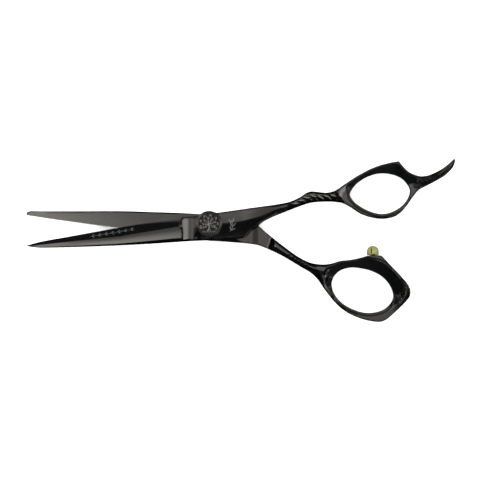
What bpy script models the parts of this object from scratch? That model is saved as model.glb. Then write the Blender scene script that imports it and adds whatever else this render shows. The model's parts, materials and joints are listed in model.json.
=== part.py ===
"""Hair cutting shears, lying on a bench with the blades about ten degrees open.

The origin is on the pivot axis, at the flat back of the stud's head, which is where the shears
rest. +Z is the pivot axis and points to the dial, +X points to the handles and +Y to the finger
ring. Lengths are in millimetres and become metres when a mesh is made. Heights below count from
the mating plane, midway between the two halves.

Two forged halves cross at the pivot. The finger half carries the lower blade, the finger ring
and the tang. The thumb half carries the upper blade, the thumb ring and the bumper. A stud keyed
in the thumb half holds a ball bearing, a wave spring, a click plate and the tension dial.
"""

import math

import bmesh
import bpy
import numpy as np
from mathutils.geometry import delaunay_2d_cdt

MM = 0.001

# Thicknesses of the halves
HALVES_GAP = 0.3
BODY_THICKNESS = 3.0
HEEL_THICKNESS = 2.45
TIP_THICKNESS = 1.1
SHANK_THICKNESS = 4.5
RING_THICKNESS = 4.8
EDGE_THICKNESS = 0.12

# Blade, from the tips to the heel
TIP_X = -72.0
HEEL_X = -10.9
HEEL_RAMP = 0.5
HEEL_BOW = 0.03
HEEL_LINE_REACH = 6.0
HEEL_LINE_POINTS = 13
EDGE_FACET_X = (-71.0, -58.0, -46.0, -35.0, -12.0)
EDGE_FACET_WIDTH = (0.25, 1.8, 2.6, 3.4, 3.4)
SPINE_BEVEL_X = (-70.0, -35.0, -15.0)
SPINE_BEVEL_WIDTH = (0.2, 0.8, 1.2)
SPINE_BEVEL_DEPTH = 0.45

# Pivot body and shanks. The shanks are thicker than the body and cross the mating plane only
# beyond CROSS_START, where the closed halves no longer lie over each other.
CROSS_START = 24.3
CROSS_END = 27.2
THIN_START = 12.0
THIN_END = 34.0
BODY_CHAMFER_WIDTH = 0.9
BODY_CHAMFER_DEPTH = 0.7
SHANK_EDGE_WIDTH = 1.3
SHANK_EDGE_SHARE = 0.3
FACETS_START = -3.0
FACETS_END = 6.0
CREST_SLOPE = 0.08
BODY_FLANK_SLOPE = 0.14
SHANK_FLANK_SLOPE = 0.5
DEEPEST_FALL = 1.4

# Rings: each one leans, so that its far side rises outwards and its near side rises inwards
RING_LEAN = 1.5
RING_LEAN_DIRECTION = math.radians(75)
RING_LEAN_NEAR = 2.8
RING_LEAN_FAR = 5.0
TANG_TIP_X = 95.9
TANG_ROOT_X = 82.0
TANG_TIP_THICKNESS = 2.4

# Pivot stack, upwards from the stud's head
STUD_HEAD_RADIUS = 3.6
STUD_HEAD_BOTTOM = -4.0
STUD_HEAD_CHAMFER = 0.3
STUD_HEAD_GAP = 0.1
STUD_KEY_RADIUS = 2.4
STUD_KEY_FLAT = 1.9
STUD_KEY_SETBACK = 0.3
STUD_RADIUS = 1.9
STUD_THREAD_RADIUS = 1.45
STUD_THREAD_FLAT = 1.15
STUD_THREAD_CHAMFER = 0.15
STUD_SHOULDER = 3.2
STUD_TOP = 4.65
FIT = 0.05
BUSH_RADIUS = 2.4
BUSH_TOP = 3.0
BUSH_SETBACK = 0.05
COUNTERBORE_RADIUS = 4.4
COUNTERBORE_FLOOR = 1.3
BALL_RADIUS = 0.5
BALL_COUNT = 8
BALL_PITCH_RADIUS = 3.4
BALL_Z = 2.25
RACE_INNER = 2.6
RACE_OUTER = 4.2
RACE_THICKNESS = 0.45
RACE_SETBACK = 0.4
GROOVE_STEPS = 4
CAGE_THICKNESS = 0.4
POCKET_DEPTH = 2.0
CUT_REACH = 6.0
SPRING_Z = 3.28
SPRING_THICKNESS = 0.12
SPRING_WAVE = 0.06
SPRING_WAVES = 3
SPRING_INSET = 0.2
CLICK_PLATE_Z = 3.55
CLICK_PLATE_THICKNESS = 0.2
CLICK_PLATE_RADIUS = 3.9
SCALLOP_DEPTH = 0.1
SCALLOPS = 12
DIAL_RADIUS = 5.1
DIAL_BOTTOM = 3.3
DIAL_CEILING = 3.9
DIAL_RECESS_FLOOR = 4.8
DIAL_TOP = 5.1
DIAL_FOOT_CHAMFER = 0.15
DIAL_LIP_WIDTH = 0.3
DIAL_LIP_SHOULDER = (0.1, 0.08)
MEDALLION_RADIUS = 4.45
MEDALLION_BOTTOM = 4.85
MEDALLION_TOP = 5.1
MEDALLION_CHAMFER = 0.1
MEDALLION_CROWN = 0.05
WASHER_RADIUS = 5.0
WASHER_THICKNESS = 0.16
WASHER_CLEARANCE = 0.1

# Bumper, screwed into the thumb ring's upper edge, with its axis along +Y
BUMPER_X = 63.8
BUMPER_SEAT_Y = -12.15
BUMPER_RADIUS = 2.35
BUMPER_HEIGHT = 3.3
BUMPER_FOOT_RADIUS = 2.2
BUMPER_FOOT_HEIGHT = 0.2
BUMPER_DOME_STEPS = 6
BUMPER_WASHER_RADIUS = 2.3
BUMPER_WASHER_THICKNESS = 0.4
BUMPER_SCREW_RADIUS = 0.8
BUMPER_SCREW_DEPTH = 3.0
BUMPER_SCREW_TOP = 1.4
BUMPER_SCREW_CHAMFER = 0.2
BUMPER_SOCKET_DEPTH = 1.2
BUMPER_HOLE_CLEARANCE = 0.3
BUMPER_HOLE_TOP = 2.0
BUMPER_BOSS_REACH = 3.2
BUMPER_BOSS_FADE = 1.5
BUMPER_BOSS_EDGE_SHARE = 0.95

# Outlines, as stretches that meet at corners. Each stretch is a smooth curve through its points.
FINGER_EDGE = [(-71.8, -8.5), (-65.8, -6.9), (-54.1, -4.8), (-42.4, -2.7), (-30.9, -0.7),
               (-19.2, 1.2), (-10.0, 2.7)]
FINGER_UPPER = [(-10.0, 2.7), (-5.1, 3.0), (-0.1, 3.9), (5.0, 4.6), (16.1, 6.2), (27.8, 7.9),
                (31.7, 8.8), (35.6, 10.6), (37.8, 12.1), (39.7, 12.7), (42.4, 12.5), (45.6, 12.2),
                (48.7, 12.9), (53.2, 15.8), (59.0, 19.5), (64.9, 22.3), (69.7, 23.7), (73.9, 24.5)]
TANG_UPPER = [(73.9, 24.5), (75.4, 22.5), (77.7, 20.3), (80.5, 19.0), (83.0, 18.6), (86.3, 19.3),
              (90.2, 21.2), (93.1, 23.3), (95.7, 25.7)]
FINGER_LOWER = [(95.7, 25.7), (95.9, 24.4), (95.1, 22.2), (92.2, 19.1), (88.3, 16.7), (84.4, 14.7),
                (81.6, 13.2), (79.3, 10.5), (76.6, 6.6), (73.6, 3.6), (70.5, 2.3), (66.8, 2.0),
                (62.9, 2.6), (59.0, 4.0), (55.1, 6.5), (52.2, 8.0), (48.7, 8.6), (43.2, 8.6),
                (39.5, 8.2), (35.6, 7.0), (31.7, 5.5), (23.9, 2.3), (20.6, 0.5), (18.3, -1.7)]
FINGER_SPINE = [(18.3, -1.7), (16.5, -2.8), (14.9, -4.6), (13.2, -5.5), (8.9, -6.0), (-0.1, -6.4),
                (-7.5, -6.7), (-19.2, -7.5), (-30.9, -8.2), (-42.6, -8.7), (-54.3, -9.1),
                (-62.1, -9.3), (-66.8, -9.3), (-69.9, -8.9), (-71.8, -8.5)]
FINGER_HOLE = [(54.8, 11.6), (55.9, 13.8), (57.8, 15.9), (61.0, 18.0), (64.9, 19.4), (68.8, 19.7),
               (72.7, 18.9), (75.6, 17.3), (77.6, 14.9), (78.3, 12.9), (77.7, 10.5), (76.5, 8.5),
               (74.6, 6.6), (70.7, 4.5), (66.8, 3.9), (62.9, 4.8), (59.0, 6.7), (56.9, 8.2),
               (55.3, 10.1)]
FINGER_CREST = [(-4.0, 1.3), (5.0, 1.0), (12.0, 1.8), (20.6, 4.1), (31.5, 7.2), (39.3, 10.1),
                (47.1, 10.3), (51.5, 11.7)]

THUMB_EDGE = [(-71.4, 3.4), (-61.9, 2.0), (-50.2, 0.4), (-38.5, -1.1), (-27.0, -2.1),
              (-17.2, -2.8), (-9.8, -3.3)]
THUMB_LOWER = [(-9.8, -3.3), (-5.1, -4.9), (-0.9, -6.4), (4.4, -6.8), (12.2, -7.4), (18.3, -8.1),
               (21.0, -9.0), (27.8, -12.1), (35.6, -16.7), (39.5, -19.0), (42.0, -21.3),
               (45.4, -26.1), (49.3, -30.9), (53.2, -34.2), (59.0, -36.9), (63.9, -38.0),
               (67.0, -38.1), (69.1, -37.2), (71.3, -35.4), (74.6, -32.3), (76.9, -29.9),
               (78.2, -27.9), (78.4, -25.9), (77.5, -23.7), (74.6, -20.2), (70.7, -16.1),
               (67.1, -12.3)]
THUMB_UPPER = [(67.1, -12.3), (63.1, -12.2), (59.0, -13.2), (55.1, -14.0), (51.2, -14.4),
               (47.3, -15.5), (44.0, -15.8), (39.5, -15.1), (35.6, -13.3), (31.7, -10.7),
               (23.9, -4.7), (19.2, -0.7)]
THUMB_SPINE = [(19.2, -0.7), (15.9, 1.6), (12.0, 3.0), (6.2, 3.7), (-3.4, 3.9), (-11.2, 4.3),
               (-22.9, 4.7), (-32.8, 5.0), (-50.4, 5.0), (-66.0, 5.0), (-70.1, 5.0), (-71.2, 4.5),
               (-71.4, 3.4)]
THUMB_HOLE = [(47.7, -23.4), (48.2, -21.4), (49.4, -19.5), (51.2, -18.1), (53.4, -17.3),
              (56.1, -17.0), (59.0, -17.3), (62.9, -18.2), (66.8, -20.1), (69.5, -22.6),
              (71.1, -25.2), (71.8, -27.7), (71.4, -29.6), (70.1, -31.6), (68.0, -33.3),
              (64.9, -34.4), (61.5, -34.7), (58.0, -34.0), (54.1, -32.3), (51.2, -30.3),
              (49.3, -28.1), (48.1, -25.7)]
THUMB_CREST = [(-4.0, -1.3), (12.0, -3.6), (24.5, -8.4), (31.5, -12.5), (39.3, -16.8),
               (45.2, -18.7)]

# Mesh density
CURVE_STEP = 0.25
CHORD_TOLERANCE = 0.02
LONGEST_CHORD = 5.0
RIM_OFFSETS = (0.3, 0.8, 1.3)
GRID_SPACING = 3.0
POINT_SPACING = 0.33
RIDGE_CLEARANCE = 0.12
SIDE_PROBE = 0.3
MERGE_DISTANCE = 1e-4
ROUND_SEGMENTS = 32
THIN_PLATE_SEGMENTS = 40
BORE_SEGMENTS = 40
DIAL_SEGMENTS = 44
SCREW_SEGMENTS = 24
POCKET_SEGMENTS = 16
BALL_RINGS = 6
SHARP_ANGLE = math.radians(30)


# ---------------------------------------------------------------- curves and distances

def curve_through(points):
    """Even samples of the centripetal Catmull-Rom curve through points."""
    points = np.array(points, float)
    padded = np.vstack([2 * points[0] - points[1], points, 2 * points[-1] - points[-2]])
    return sample_spans(padded)


def loop_through(points):
    """The same curve, closed on itself."""
    points = np.array(points, float)
    padded = np.vstack([points[-1], points, points[0], points[1]])
    return sample_spans(padded)[:-1]


def sample_spans(padded):
    samples = []
    for before, start, end, after in zip(padded, padded[1:], padded[2:], padded[3:]):
        k0 = math.sqrt(np.linalg.norm(start - before))
        k1 = k0 + math.sqrt(np.linalg.norm(end - start))
        k2 = k1 + math.sqrt(np.linalg.norm(after - end))
        count = max(2, round(np.linalg.norm(end - start) / CURVE_STEP))
        t = np.linspace(k0, k1, count, endpoint=False)[:, None]
        a1 = (k0 - t) / k0 * before + t / k0 * start
        a2 = (k1 - t) / (k1 - k0) * start + (t - k0) / (k1 - k0) * end
        a3 = (k2 - t) / (k2 - k1) * end + (t - k1) / (k2 - k1) * after
        b1 = (k1 - t) / k1 * a1 + t / k1 * a2
        b2 = (k2 - t) / (k2 - k0) * a2 + (t - k0) / (k2 - k0) * a3
        samples.append((k1 - t) / (k1 - k0) * b1 + (t - k0) / (k1 - k0) * b2)
    samples.append(padded[-2][None, :])
    return np.vstack(samples)


def thinned(points):
    """Leave out the samples that a chord replaces within the tolerance."""
    kept = [0]
    while kept[-1] < len(points) - 1:
        start = kept[-1]
        best = start + 1
        for end in range(start + 2, len(points)):
            chord = points[end] - points[start]
            length = np.linalg.norm(chord)
            if length > LONGEST_CHORD:
                break
            offsets = points[start + 1:end] - points[start]
            sag = np.abs(chord[0] * offsets[:, 1] - chord[1] * offsets[:, 0]) / length
            if sag.max() > CHORD_TOLERANCE:
                break
            best = end
        kept.append(best)
    return points[kept]


def distance_to(line, points, closed=False):
    """Distance from each point to a polyline, positive where the point lies left of it."""
    starts = line if closed else line[:-1]
    ends = np.roll(line, -1, axis=0) if closed else line[1:]
    along = ends - starts
    lengths = np.maximum((along ** 2).sum(axis=1), 1e-12)
    signed = np.empty(len(points))
    for index, point in enumerate(points):
        offset = point - starts
        share = np.clip((offset * along).sum(axis=1) / lengths, 0, 1)
        gaps = np.hypot(*(offset - share[:, None] * along).T)
        nearest = gaps.argmin()
        turn = along[nearest][0] * offset[nearest][1] - along[nearest][1] * offset[nearest][0]
        signed[index] = math.copysign(gaps[nearest], turn)
    return signed


def inside(loop, points):
    """True where a point lies inside a closed loop, by counting crossings."""
    x, y = points[:, 0], points[:, 1]
    found = np.zeros(len(points), bool)
    for (x0, y0), (x1, y1) in zip(loop, np.roll(loop, -1, axis=0)):
        spans = (y0 > y) != (y1 > y)
        if spans.any():
            crossing = x0 + (y - y0) * (x1 - x0) / (y1 - y0)
            found ^= spans & (x < crossing)
    return found


def smooth(value, low, high):
    """0 below low and 1 above high, with a level start and end."""
    share = np.clip((value - low) / (high - low), 0, 1)
    return share * share * (3 - 2 * share)


# ---------------------------------------------------------------- the two forged halves

class Half:
    """One half of the shears, seen along its outward normal: heights count outwards."""

    def __init__(self, facing, stretches, edge, spine, hole, crest):
        self.facing = facing
        self.outline = np.vstack([thinned(curve_through(s))[:-1] for s in stretches])
        self.edge = thinned(curve_through(edge))
        self.spine = thinned(curve_through(spine))
        self.hole = thinned(loop_through(hole))
        self.crest = thinned(curve_through(crest))
        self.ring_centre = self.hole.mean(axis=0)
        self.loops = [self.outline, self.hole]

    def heel_line(self, x_shift):
        """The step between the ground blade and the raised pivot body."""
        middle = (self.edge[-1][1] + self.spine[len(self.spine) // 2][1]) / 2
        y = np.linspace(middle - HEEL_LINE_REACH, middle + HEEL_LINE_REACH, HEEL_LINE_POINTS)
        return np.column_stack([heel_x(y, middle) + x_shift, y])

    def heights(self, points):
        """Outer and inner face heights at each point."""
        x, y = points.T
        rim = np.abs(distance_to(self.outline, points, closed=True))
        bore = np.abs(distance_to(self.hole, points, closed=True))
        outer, inner = self.handle_heights(points, rim, bore)
        blade = self.blade_heights(points)
        middle = self.heel_line(0)[HEEL_LINE_POINTS // 2][1]
        heel = np.clip((x - heel_x(y, middle)) / HEEL_RAMP, 0, 1)
        outer = blade + (outer - blade) * heel
        return outer, inner

    def blade_heights(self, points):
        """Outer face of the blade: a flat with a long bevel to the edge and a short one to the spine."""
        x = points[:, 0]
        thickness = np.interp(x, (TIP_X, HEEL_X), (TIP_THICKNESS, HEEL_THICKNESS))
        to_edge = np.abs(distance_to(self.edge, points))
        to_spine = np.abs(distance_to(self.spine, points))
        edge_share = np.clip(to_edge / np.interp(x, EDGE_FACET_X, EDGE_FACET_WIDTH), 0, 1)
        spine_share = np.clip(to_spine / np.interp(x, SPINE_BEVEL_X, SPINE_BEVEL_WIDTH), 0, 1)
        from_edge = EDGE_THICKNESS + (thickness - EDGE_THICKNESS) * edge_share
        from_spine = thickness * (1 - SPINE_BEVEL_DEPTH * (1 - spine_share))
        return HALVES_GAP / 2 + np.minimum(from_edge, from_spine)

    def handle_heights(self, points, rim, bore):
        """Both faces of the pivot body, the shank, the ring and the tang."""
        x, y = points.T
        radius = np.where(x > 0, np.hypot(x, y), 0)
        crossed = smooth(radius, CROSS_START, CROSS_END)
        thin = smooth(radius, THIN_START, THIN_END)
        in_ring = 1 - smooth(bore, RING_LEAN_NEAR, RING_LEAN_FAR)
        half_ring = SHANK_THICKNESS / 2 + (RING_THICKNESS - SHANK_THICKNESS) / 2 * in_ring
        in_tang = smooth(x, TANG_ROOT_X, TANG_TIP_X)
        half_shank = half_ring + (TANG_TIP_THICKNESS / 2 - half_ring) * in_tang

        crest = distance_to(self.crest, points)
        faceted = smooth(x, FACETS_START, FACETS_END) * (1 - in_ring) * (1 - in_tang)
        flank_slope = BODY_FLANK_SLOPE + (SHANK_FLANK_SLOPE - BODY_FLANK_SLOPE) * crossed
        fall = np.where(crest > 0, CREST_SLOPE * crest, -flank_slope * crest) * faceted
        fall = np.minimum(fall, DEEPEST_FALL)

        body_top = HALVES_GAP / 2 + BODY_THICKNESS
        outer = body_top + (half_shank - body_top) * thin - fall
        inner = HALVES_GAP / 2 + (-half_shank + fall - HALVES_GAP / 2) * crossed

        # Edges: a chamfer on the body's outer side only, a full round on the shanks and rings
        reach = np.minimum(rim, bore)
        flat_share = np.clip(reach / BODY_CHAMFER_WIDTH, 0, 1)
        round_share = np.clip(reach / SHANK_EDGE_WIDTH, 0, 1)
        round_share = np.sqrt(1 - (1 - round_share) ** 2)
        edge_height = SHANK_EDGE_SHARE * half_shank
        boss_edge = BUMPER_BOSS_EDGE_SHARE * half_shank
        edge_height = edge_height + (boss_edge - edge_height) * self.boss(points)
        body_outer = outer - BODY_CHAMFER_DEPTH * (1 - flat_share)
        shank_outer = edge_height + (outer - edge_height) * round_share
        shank_inner = -edge_height + (inner + edge_height) * round_share
        outer = body_outer + (shank_outer - body_outer) * crossed
        inner = inner + (shank_inner - inner) * crossed

        lean = self.lean(points, rim, bore) * in_ring * (1 - self.boss(points))
        return outer + lean, inner + lean

    def boss(self, points):
        """The thumb ring stays full thickness where the bumper sits."""
        away = np.hypot(points[:, 0] - BUMPER_X, points[:, 1] - BUMPER_SEAT_Y)
        return 1 - smooth(away, BUMPER_BOSS_REACH, BUMPER_BOSS_REACH + BUMPER_BOSS_FADE)

    def lean(self, points, rim, bore):
        """How far the ring's middle surface rises, by the side of the ring and across it."""
        offset = points - self.ring_centre
        direction = np.arctan2(offset[:, 1], offset[:, 0])
        across = (bore - rim) / np.maximum(bore + rim, 1e-9)
        return RING_LEAN * self.facing * np.cos(direction - RING_LEAN_DIRECTION) * across


def heel_x(y, middle):
    """The heel step bows slightly towards the tips in the middle of the blade."""
    return HEEL_X + HEEL_BOW * (y - middle) ** 2


def offset_points(loop, distance, loops):
    """Points moved from a loop into the material, left out where the material is too narrow."""
    ahead = np.roll(loop, -1, axis=0)
    mids = (loop + ahead) / 2
    along = ahead - loop
    normal = np.column_stack([-along[:, 1], along[:, 0]])
    normal /= np.maximum(np.linalg.norm(normal, axis=1), 1e-9)[:, None]
    moved = np.vstack([mids + normal * distance, mids - normal * distance])
    moved = moved[in_material(loops, moved)]
    clear = np.min([np.abs(distance_to(line, moved, closed=True)) for line in loops], axis=0)
    return moved[clear > distance * 0.9]


def in_material(loops, points):
    return inside(loops[0], points) & ~inside(loops[1], points)


def spread(points, taken, gap):
    """Keep only the points that are at least gap away from those taken and from each other."""
    kept = list(taken)
    for point in points:
        if np.min(np.hypot(*(np.array(kept) - point).T)) > gap:
            kept.append(point)
    return np.array(kept[len(taken):]).reshape(-1, 2)


def lengthwise_ridges(half):
    """Where the blade's bevels meet its flat, as lines inside the outline."""
    ridges = []
    for line, stations, widths in (
        (half.edge, EDGE_FACET_X, EDGE_FACET_WIDTH),
        (half.spine, SPINE_BEVEL_X, SPINE_BEVEL_WIDTH),
    ):
        samples = line[(line[:, 0] > stations[0]) & (line[:, 0] < HEEL_X - SIDE_PROBE)]
        along = np.gradient(samples, axis=0)
        normal = np.column_stack([-along[:, 1], along[:, 0]])
        normal /= np.linalg.norm(normal, axis=1)[:, None]
        width = np.interp(samples[:, 0], stations, widths)[:, None]
        towards = 1 if in_material(half.loops, samples + normal * SIDE_PROBE).mean() > 0.5 else -1
        ridges.append(samples + towards * normal * width)
    return ridges


def half_mesh(half, name):
    """Mesh one half: its region is triangulated once and raised to the outer and inner faces."""
    features = lengthwise_ridges(half) + [half.heel_line(0), half.heel_line(HEEL_RAMP), half.crest]
    corners, edges = [], []
    for line, closed in [(l, True) for l in half.loops] + [(f, False) for f in features]:
        if not closed:
            clear = np.min([np.abs(distance_to(l, line, closed=True)) for l in half.loops], axis=0)
            line = line[in_material(half.loops, line) & (clear > RIDGE_CLEARANCE)]
        first = len(corners)
        corners.extend(line)
        edges.extend((first + i, first + i + 1) for i in range(len(line) - 1))
        if closed:
            edges.append((first + len(line) - 1, first))
    taken = np.array(corners)
    extra = [offset_points(l, d, half.loops) for d in RIM_OFFSETS for l in half.loops]
    extra.append(grid_points(half))
    loose = spread(np.vstack(extra), taken, POINT_SPACING)
    flat = [tuple(p) for p in np.vstack([taken, loose])]
    found = delaunay_2d_cdt(flat, edges, [], 0, MERGE_DISTANCE, False)
    plan = np.array([tuple(v) for v in found[0]])
    triangles = np.array(found[2])
    triangles = triangles[in_material(half.loops, plan[triangles].mean(axis=1))]
    outer, inner = half.heights(plan)
    return raised_mesh(name, plan, triangles, half.facing * outer, half.facing * inner)


def grid_points(half):
    low, high = half.outline.min(axis=0), half.outline.max(axis=0)
    grid = []
    for row, y in enumerate(np.arange(low[1], high[1], GRID_SPACING * math.sin(math.radians(60)))):
        shift = GRID_SPACING / 2 * (row % 2)
        grid.extend((x, y) for x in np.arange(low[0] + shift, high[0], GRID_SPACING))
    grid = np.array(grid)
    grid = grid[in_material(half.loops, grid)]
    clear = np.min([np.abs(distance_to(l, grid, closed=True)) for l in half.loops], axis=0)
    return grid[clear > RIM_OFFSETS[-1]]


def raised_mesh(name, plan, triangles, first, second):
    """A closed mesh between two height fields over the same triangles."""
    count = len(plan)
    mesh = bpy.data.meshes.new(name)
    corners = np.vstack([np.column_stack([plan, first]), np.column_stack([plan, second])]) * MM
    faces = [tuple(t) for t in triangles] + [tuple(t[::-1] + count) for t in triangles]
    directed = {(int(t[i]), int(t[(i + 1) % 3])) for t in triangles for i in range(3)}
    for a, b in directed:
        if (b, a) not in directed:
            faces.append((b, a, a + count, b + count))
    mesh.from_pydata(corners.tolist(), [], [tuple(int(i) for i in f) for f in faces])
    bm = bmesh.new()
    bm.from_mesh(mesh)
    bmesh.ops.delete(bm, geom=[v for v in bm.verts if not v.link_faces], context="VERTS")
    bmesh.ops.recalc_face_normals(bm, faces=bm.faces)
    bmesh.ops.triangulate(bm, faces=bm.faces)
    bm.to_mesh(mesh)
    bm.free()
    return mesh


# ---------------------------------------------------------------- turned pieces

def turned_mesh(name, profile, segments=ROUND_SEGMENTS, shape=None):
    """Turn a closed profile of (radius, height) corners about Z.

    shape(radius, height, angle) may move a corner off the plain circle, for flats or waves.
    """
    bm = bmesh.new()
    rings = []
    for radius, height in profile:
        if radius == 0:
            rings.append([bm.verts.new((0, 0, height * MM))] * segments)
            continue
        ring = []
        for step in range(segments):
            angle = 2 * math.pi * step / segments
            place = (radius * math.cos(angle), radius * math.sin(angle), height)
            if shape:
                place = shape(radius, height, angle)
            ring.append(bm.verts.new([value * MM for value in place]))
        rings.append(ring)
    for ring, following in zip(rings, rings[1:] + rings[:1]):
        for step in range(segments):
            ahead = (step + 1) % segments
            corners = [ring[step], ring[ahead], following[ahead], following[step]]
            corners = list(dict.fromkeys(corners))
            if len(corners) > 2:
                bm.faces.new(corners)
    bmesh.ops.recalc_face_normals(bm, faces=bm.faces)
    mesh = bpy.data.meshes.new(name)
    bm.to_mesh(mesh)
    bm.free()
    return mesh


def ring_profile(inner, outer, bottom, top):
    return [(inner, bottom), (outer, bottom), (outer, top), (inner, top)]


def flatted(radius, height, angle, flat):
    """A corner of a round section whose two sides are cut flat."""
    across = max(-flat, min(flat, radius * math.sin(angle)))
    return (radius * math.cos(angle), across, height)


def pivot_stud_mesh():
    """Head on the back, a keyed part in the thumb half, a round journal and a flatted thread."""
    back = -(HALVES_GAP / 2 + BODY_THICKNESS)
    head_top = back - STUD_HEAD_GAP
    key_top = -HALVES_GAP / 2 - STUD_KEY_SETBACK
    thread_end_radius = STUD_THREAD_RADIUS - STUD_THREAD_CHAMFER
    profile = [(0, STUD_HEAD_BOTTOM), (STUD_HEAD_RADIUS - STUD_HEAD_CHAMFER, STUD_HEAD_BOTTOM),
               (STUD_HEAD_RADIUS, STUD_HEAD_BOTTOM + STUD_HEAD_CHAMFER),
               (STUD_HEAD_RADIUS, head_top), (STUD_KEY_RADIUS, head_top),
               (STUD_KEY_RADIUS, key_top), (STUD_RADIUS, key_top), (STUD_RADIUS, STUD_SHOULDER),
               (STUD_THREAD_RADIUS, STUD_SHOULDER),
               (STUD_THREAD_RADIUS, STUD_TOP - STUD_THREAD_CHAMFER),
               (thread_end_radius, STUD_TOP), (0, STUD_TOP)]
    flats = {STUD_KEY_RADIUS: STUD_KEY_FLAT, STUD_THREAD_RADIUS: STUD_THREAD_FLAT,
             thread_end_radius: STUD_THREAD_FLAT}

    def shape(radius, height, angle):
        return flatted(radius, height, angle, flats.get(radius, radius))

    return turned_mesh("pivot_stud", profile, shape=shape)


def race_mesh(name, faces_up):
    """A bearing washer with a round groove for the balls on one side."""
    towards = 1 if faces_up else -1
    face = BALL_Z - towards * RACE_SETBACK
    back = face - towards * RACE_THICKNESS
    groove_radius = BALL_RADIUS + FIT
    half_angle = math.acos(RACE_SETBACK / groove_radius)
    profile = [(RACE_INNER, back), (RACE_OUTER, back), (RACE_OUTER, face)]
    for step in range(GROOVE_STEPS + 1):
        angle = half_angle * (1 - 2 * step / GROOVE_STEPS)
        profile.append((BALL_PITCH_RADIUS + groove_radius * math.sin(angle),
                        BALL_Z - towards * groove_radius * math.cos(angle)))
    profile.append((RACE_INNER, face))
    return turned_mesh(name, profile)


def ball_mesh():
    profile = [(0, -BALL_RADIUS)]
    for step in range(1, BALL_RINGS):
        angle = math.pi * step / BALL_RINGS
        profile.append((BALL_RADIUS * math.sin(angle), -BALL_RADIUS * math.cos(angle)))
    profile.append((0, BALL_RADIUS))
    return turned_mesh("bearing_ball", profile, segments=2 * BALL_RINGS)


def wave_spring_mesh():
    """A thin washer with three waves."""
    def shape(radius, height, angle):
        return (radius * math.cos(angle), radius * math.sin(angle),
                height + SPRING_WAVE * math.cos(SPRING_WAVES * angle))

    bottom = SPRING_Z - SPRING_THICKNESS / 2
    outer = RACE_OUTER - SPRING_INSET
    profile = ring_profile(RACE_INNER, outer, bottom, bottom + SPRING_THICKNESS)
    return turned_mesh("wave_spring", profile, THIN_PLATE_SEGMENTS, shape)


def click_plate_mesh():
    """A detent plate with a scalloped rim and a flatted hole."""
    hole = STUD_THREAD_RADIUS + FIT

    def shape(radius, height, angle):
        if radius == hole:
            return flatted(radius, height, angle, STUD_THREAD_FLAT + FIT)
        radius = radius + SCALLOP_DEPTH * math.cos(SCALLOPS * angle)
        return (radius * math.cos(angle), radius * math.sin(angle), height)

    profile = ring_profile(hole, CLICK_PLATE_RADIUS, CLICK_PLATE_Z,
                           CLICK_PLATE_Z + CLICK_PLATE_THICKNESS)
    return turned_mesh("click_plate", profile, THIN_PLATE_SEGMENTS, shape)


def tension_dial_mesh():
    """A cap with a skirt over the bearing, a threaded hub and a recess for the medallion."""
    skirt_inner = COUNTERBORE_RADIUS
    shoulder_in, shoulder_down = DIAL_LIP_SHOULDER
    profile = [(skirt_inner, DIAL_BOTTOM), (DIAL_RADIUS - DIAL_FOOT_CHAMFER, DIAL_BOTTOM),
               (DIAL_RADIUS, DIAL_BOTTOM + DIAL_FOOT_CHAMFER),
               (DIAL_RADIUS, DIAL_TOP - DIAL_LIP_WIDTH),
               (DIAL_RADIUS - shoulder_in, DIAL_TOP - shoulder_down),
               (DIAL_RADIUS - DIAL_LIP_WIDTH, DIAL_TOP),
               (MEDALLION_RADIUS + FIT, DIAL_TOP), (MEDALLION_RADIUS + FIT, DIAL_RECESS_FLOOR),
               (STUD_THREAD_RADIUS + FIT, DIAL_RECESS_FLOOR),
               (STUD_THREAD_RADIUS + FIT, DIAL_CEILING), (skirt_inner, DIAL_CEILING)]
    return turned_mesh("tension_dial", profile, DIAL_SEGMENTS)


def medallion_mesh():
    profile = [(0, MEDALLION_BOTTOM), (MEDALLION_RADIUS, MEDALLION_BOTTOM),
               (MEDALLION_RADIUS, MEDALLION_TOP - MEDALLION_CHAMFER),
               (MEDALLION_RADIUS - MEDALLION_CHAMFER, MEDALLION_TOP),
               (0, MEDALLION_TOP + MEDALLION_CROWN)]
    return turned_mesh("dial_medallion", profile, DIAL_SEGMENTS)


def bumper_cap_mesh():
    """A domed cap, slightly narrower at its foot, with a blind socket for the screw."""
    foot = BUMPER_WASHER_THICKNESS + FIT
    dome_start = foot + BUMPER_HEIGHT - BUMPER_RADIUS
    socket_radius = BUMPER_SCREW_RADIUS + FIT
    profile = [(0, foot + BUMPER_SOCKET_DEPTH), (socket_radius, foot + BUMPER_SOCKET_DEPTH),
               (socket_radius, foot), (BUMPER_FOOT_RADIUS, foot),
               (BUMPER_RADIUS, foot + BUMPER_FOOT_HEIGHT), (BUMPER_RADIUS, dome_start)]
    for step in range(1, BUMPER_DOME_STEPS):
        angle = math.pi / 2 * step / BUMPER_DOME_STEPS
        profile.append((BUMPER_RADIUS * math.cos(angle),
                        dome_start + BUMPER_RADIUS * math.sin(angle)))
    profile.append((0, foot + BUMPER_HEIGHT))
    return turned_mesh("bumper_cap", profile)


def bumper_screw_mesh():
    end_radius = BUMPER_SCREW_RADIUS - BUMPER_SCREW_CHAMFER
    profile = [(0, -BUMPER_SCREW_DEPTH), (end_radius, -BUMPER_SCREW_DEPTH),
               (BUMPER_SCREW_RADIUS, -BUMPER_SCREW_DEPTH + BUMPER_SCREW_CHAMFER),
               (BUMPER_SCREW_RADIUS, BUMPER_SCREW_TOP), (0, BUMPER_SCREW_TOP)]
    return turned_mesh("bumper_screw", profile, SCREW_SEGMENTS)


# ---------------------------------------------------------------- objects and finishes

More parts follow.
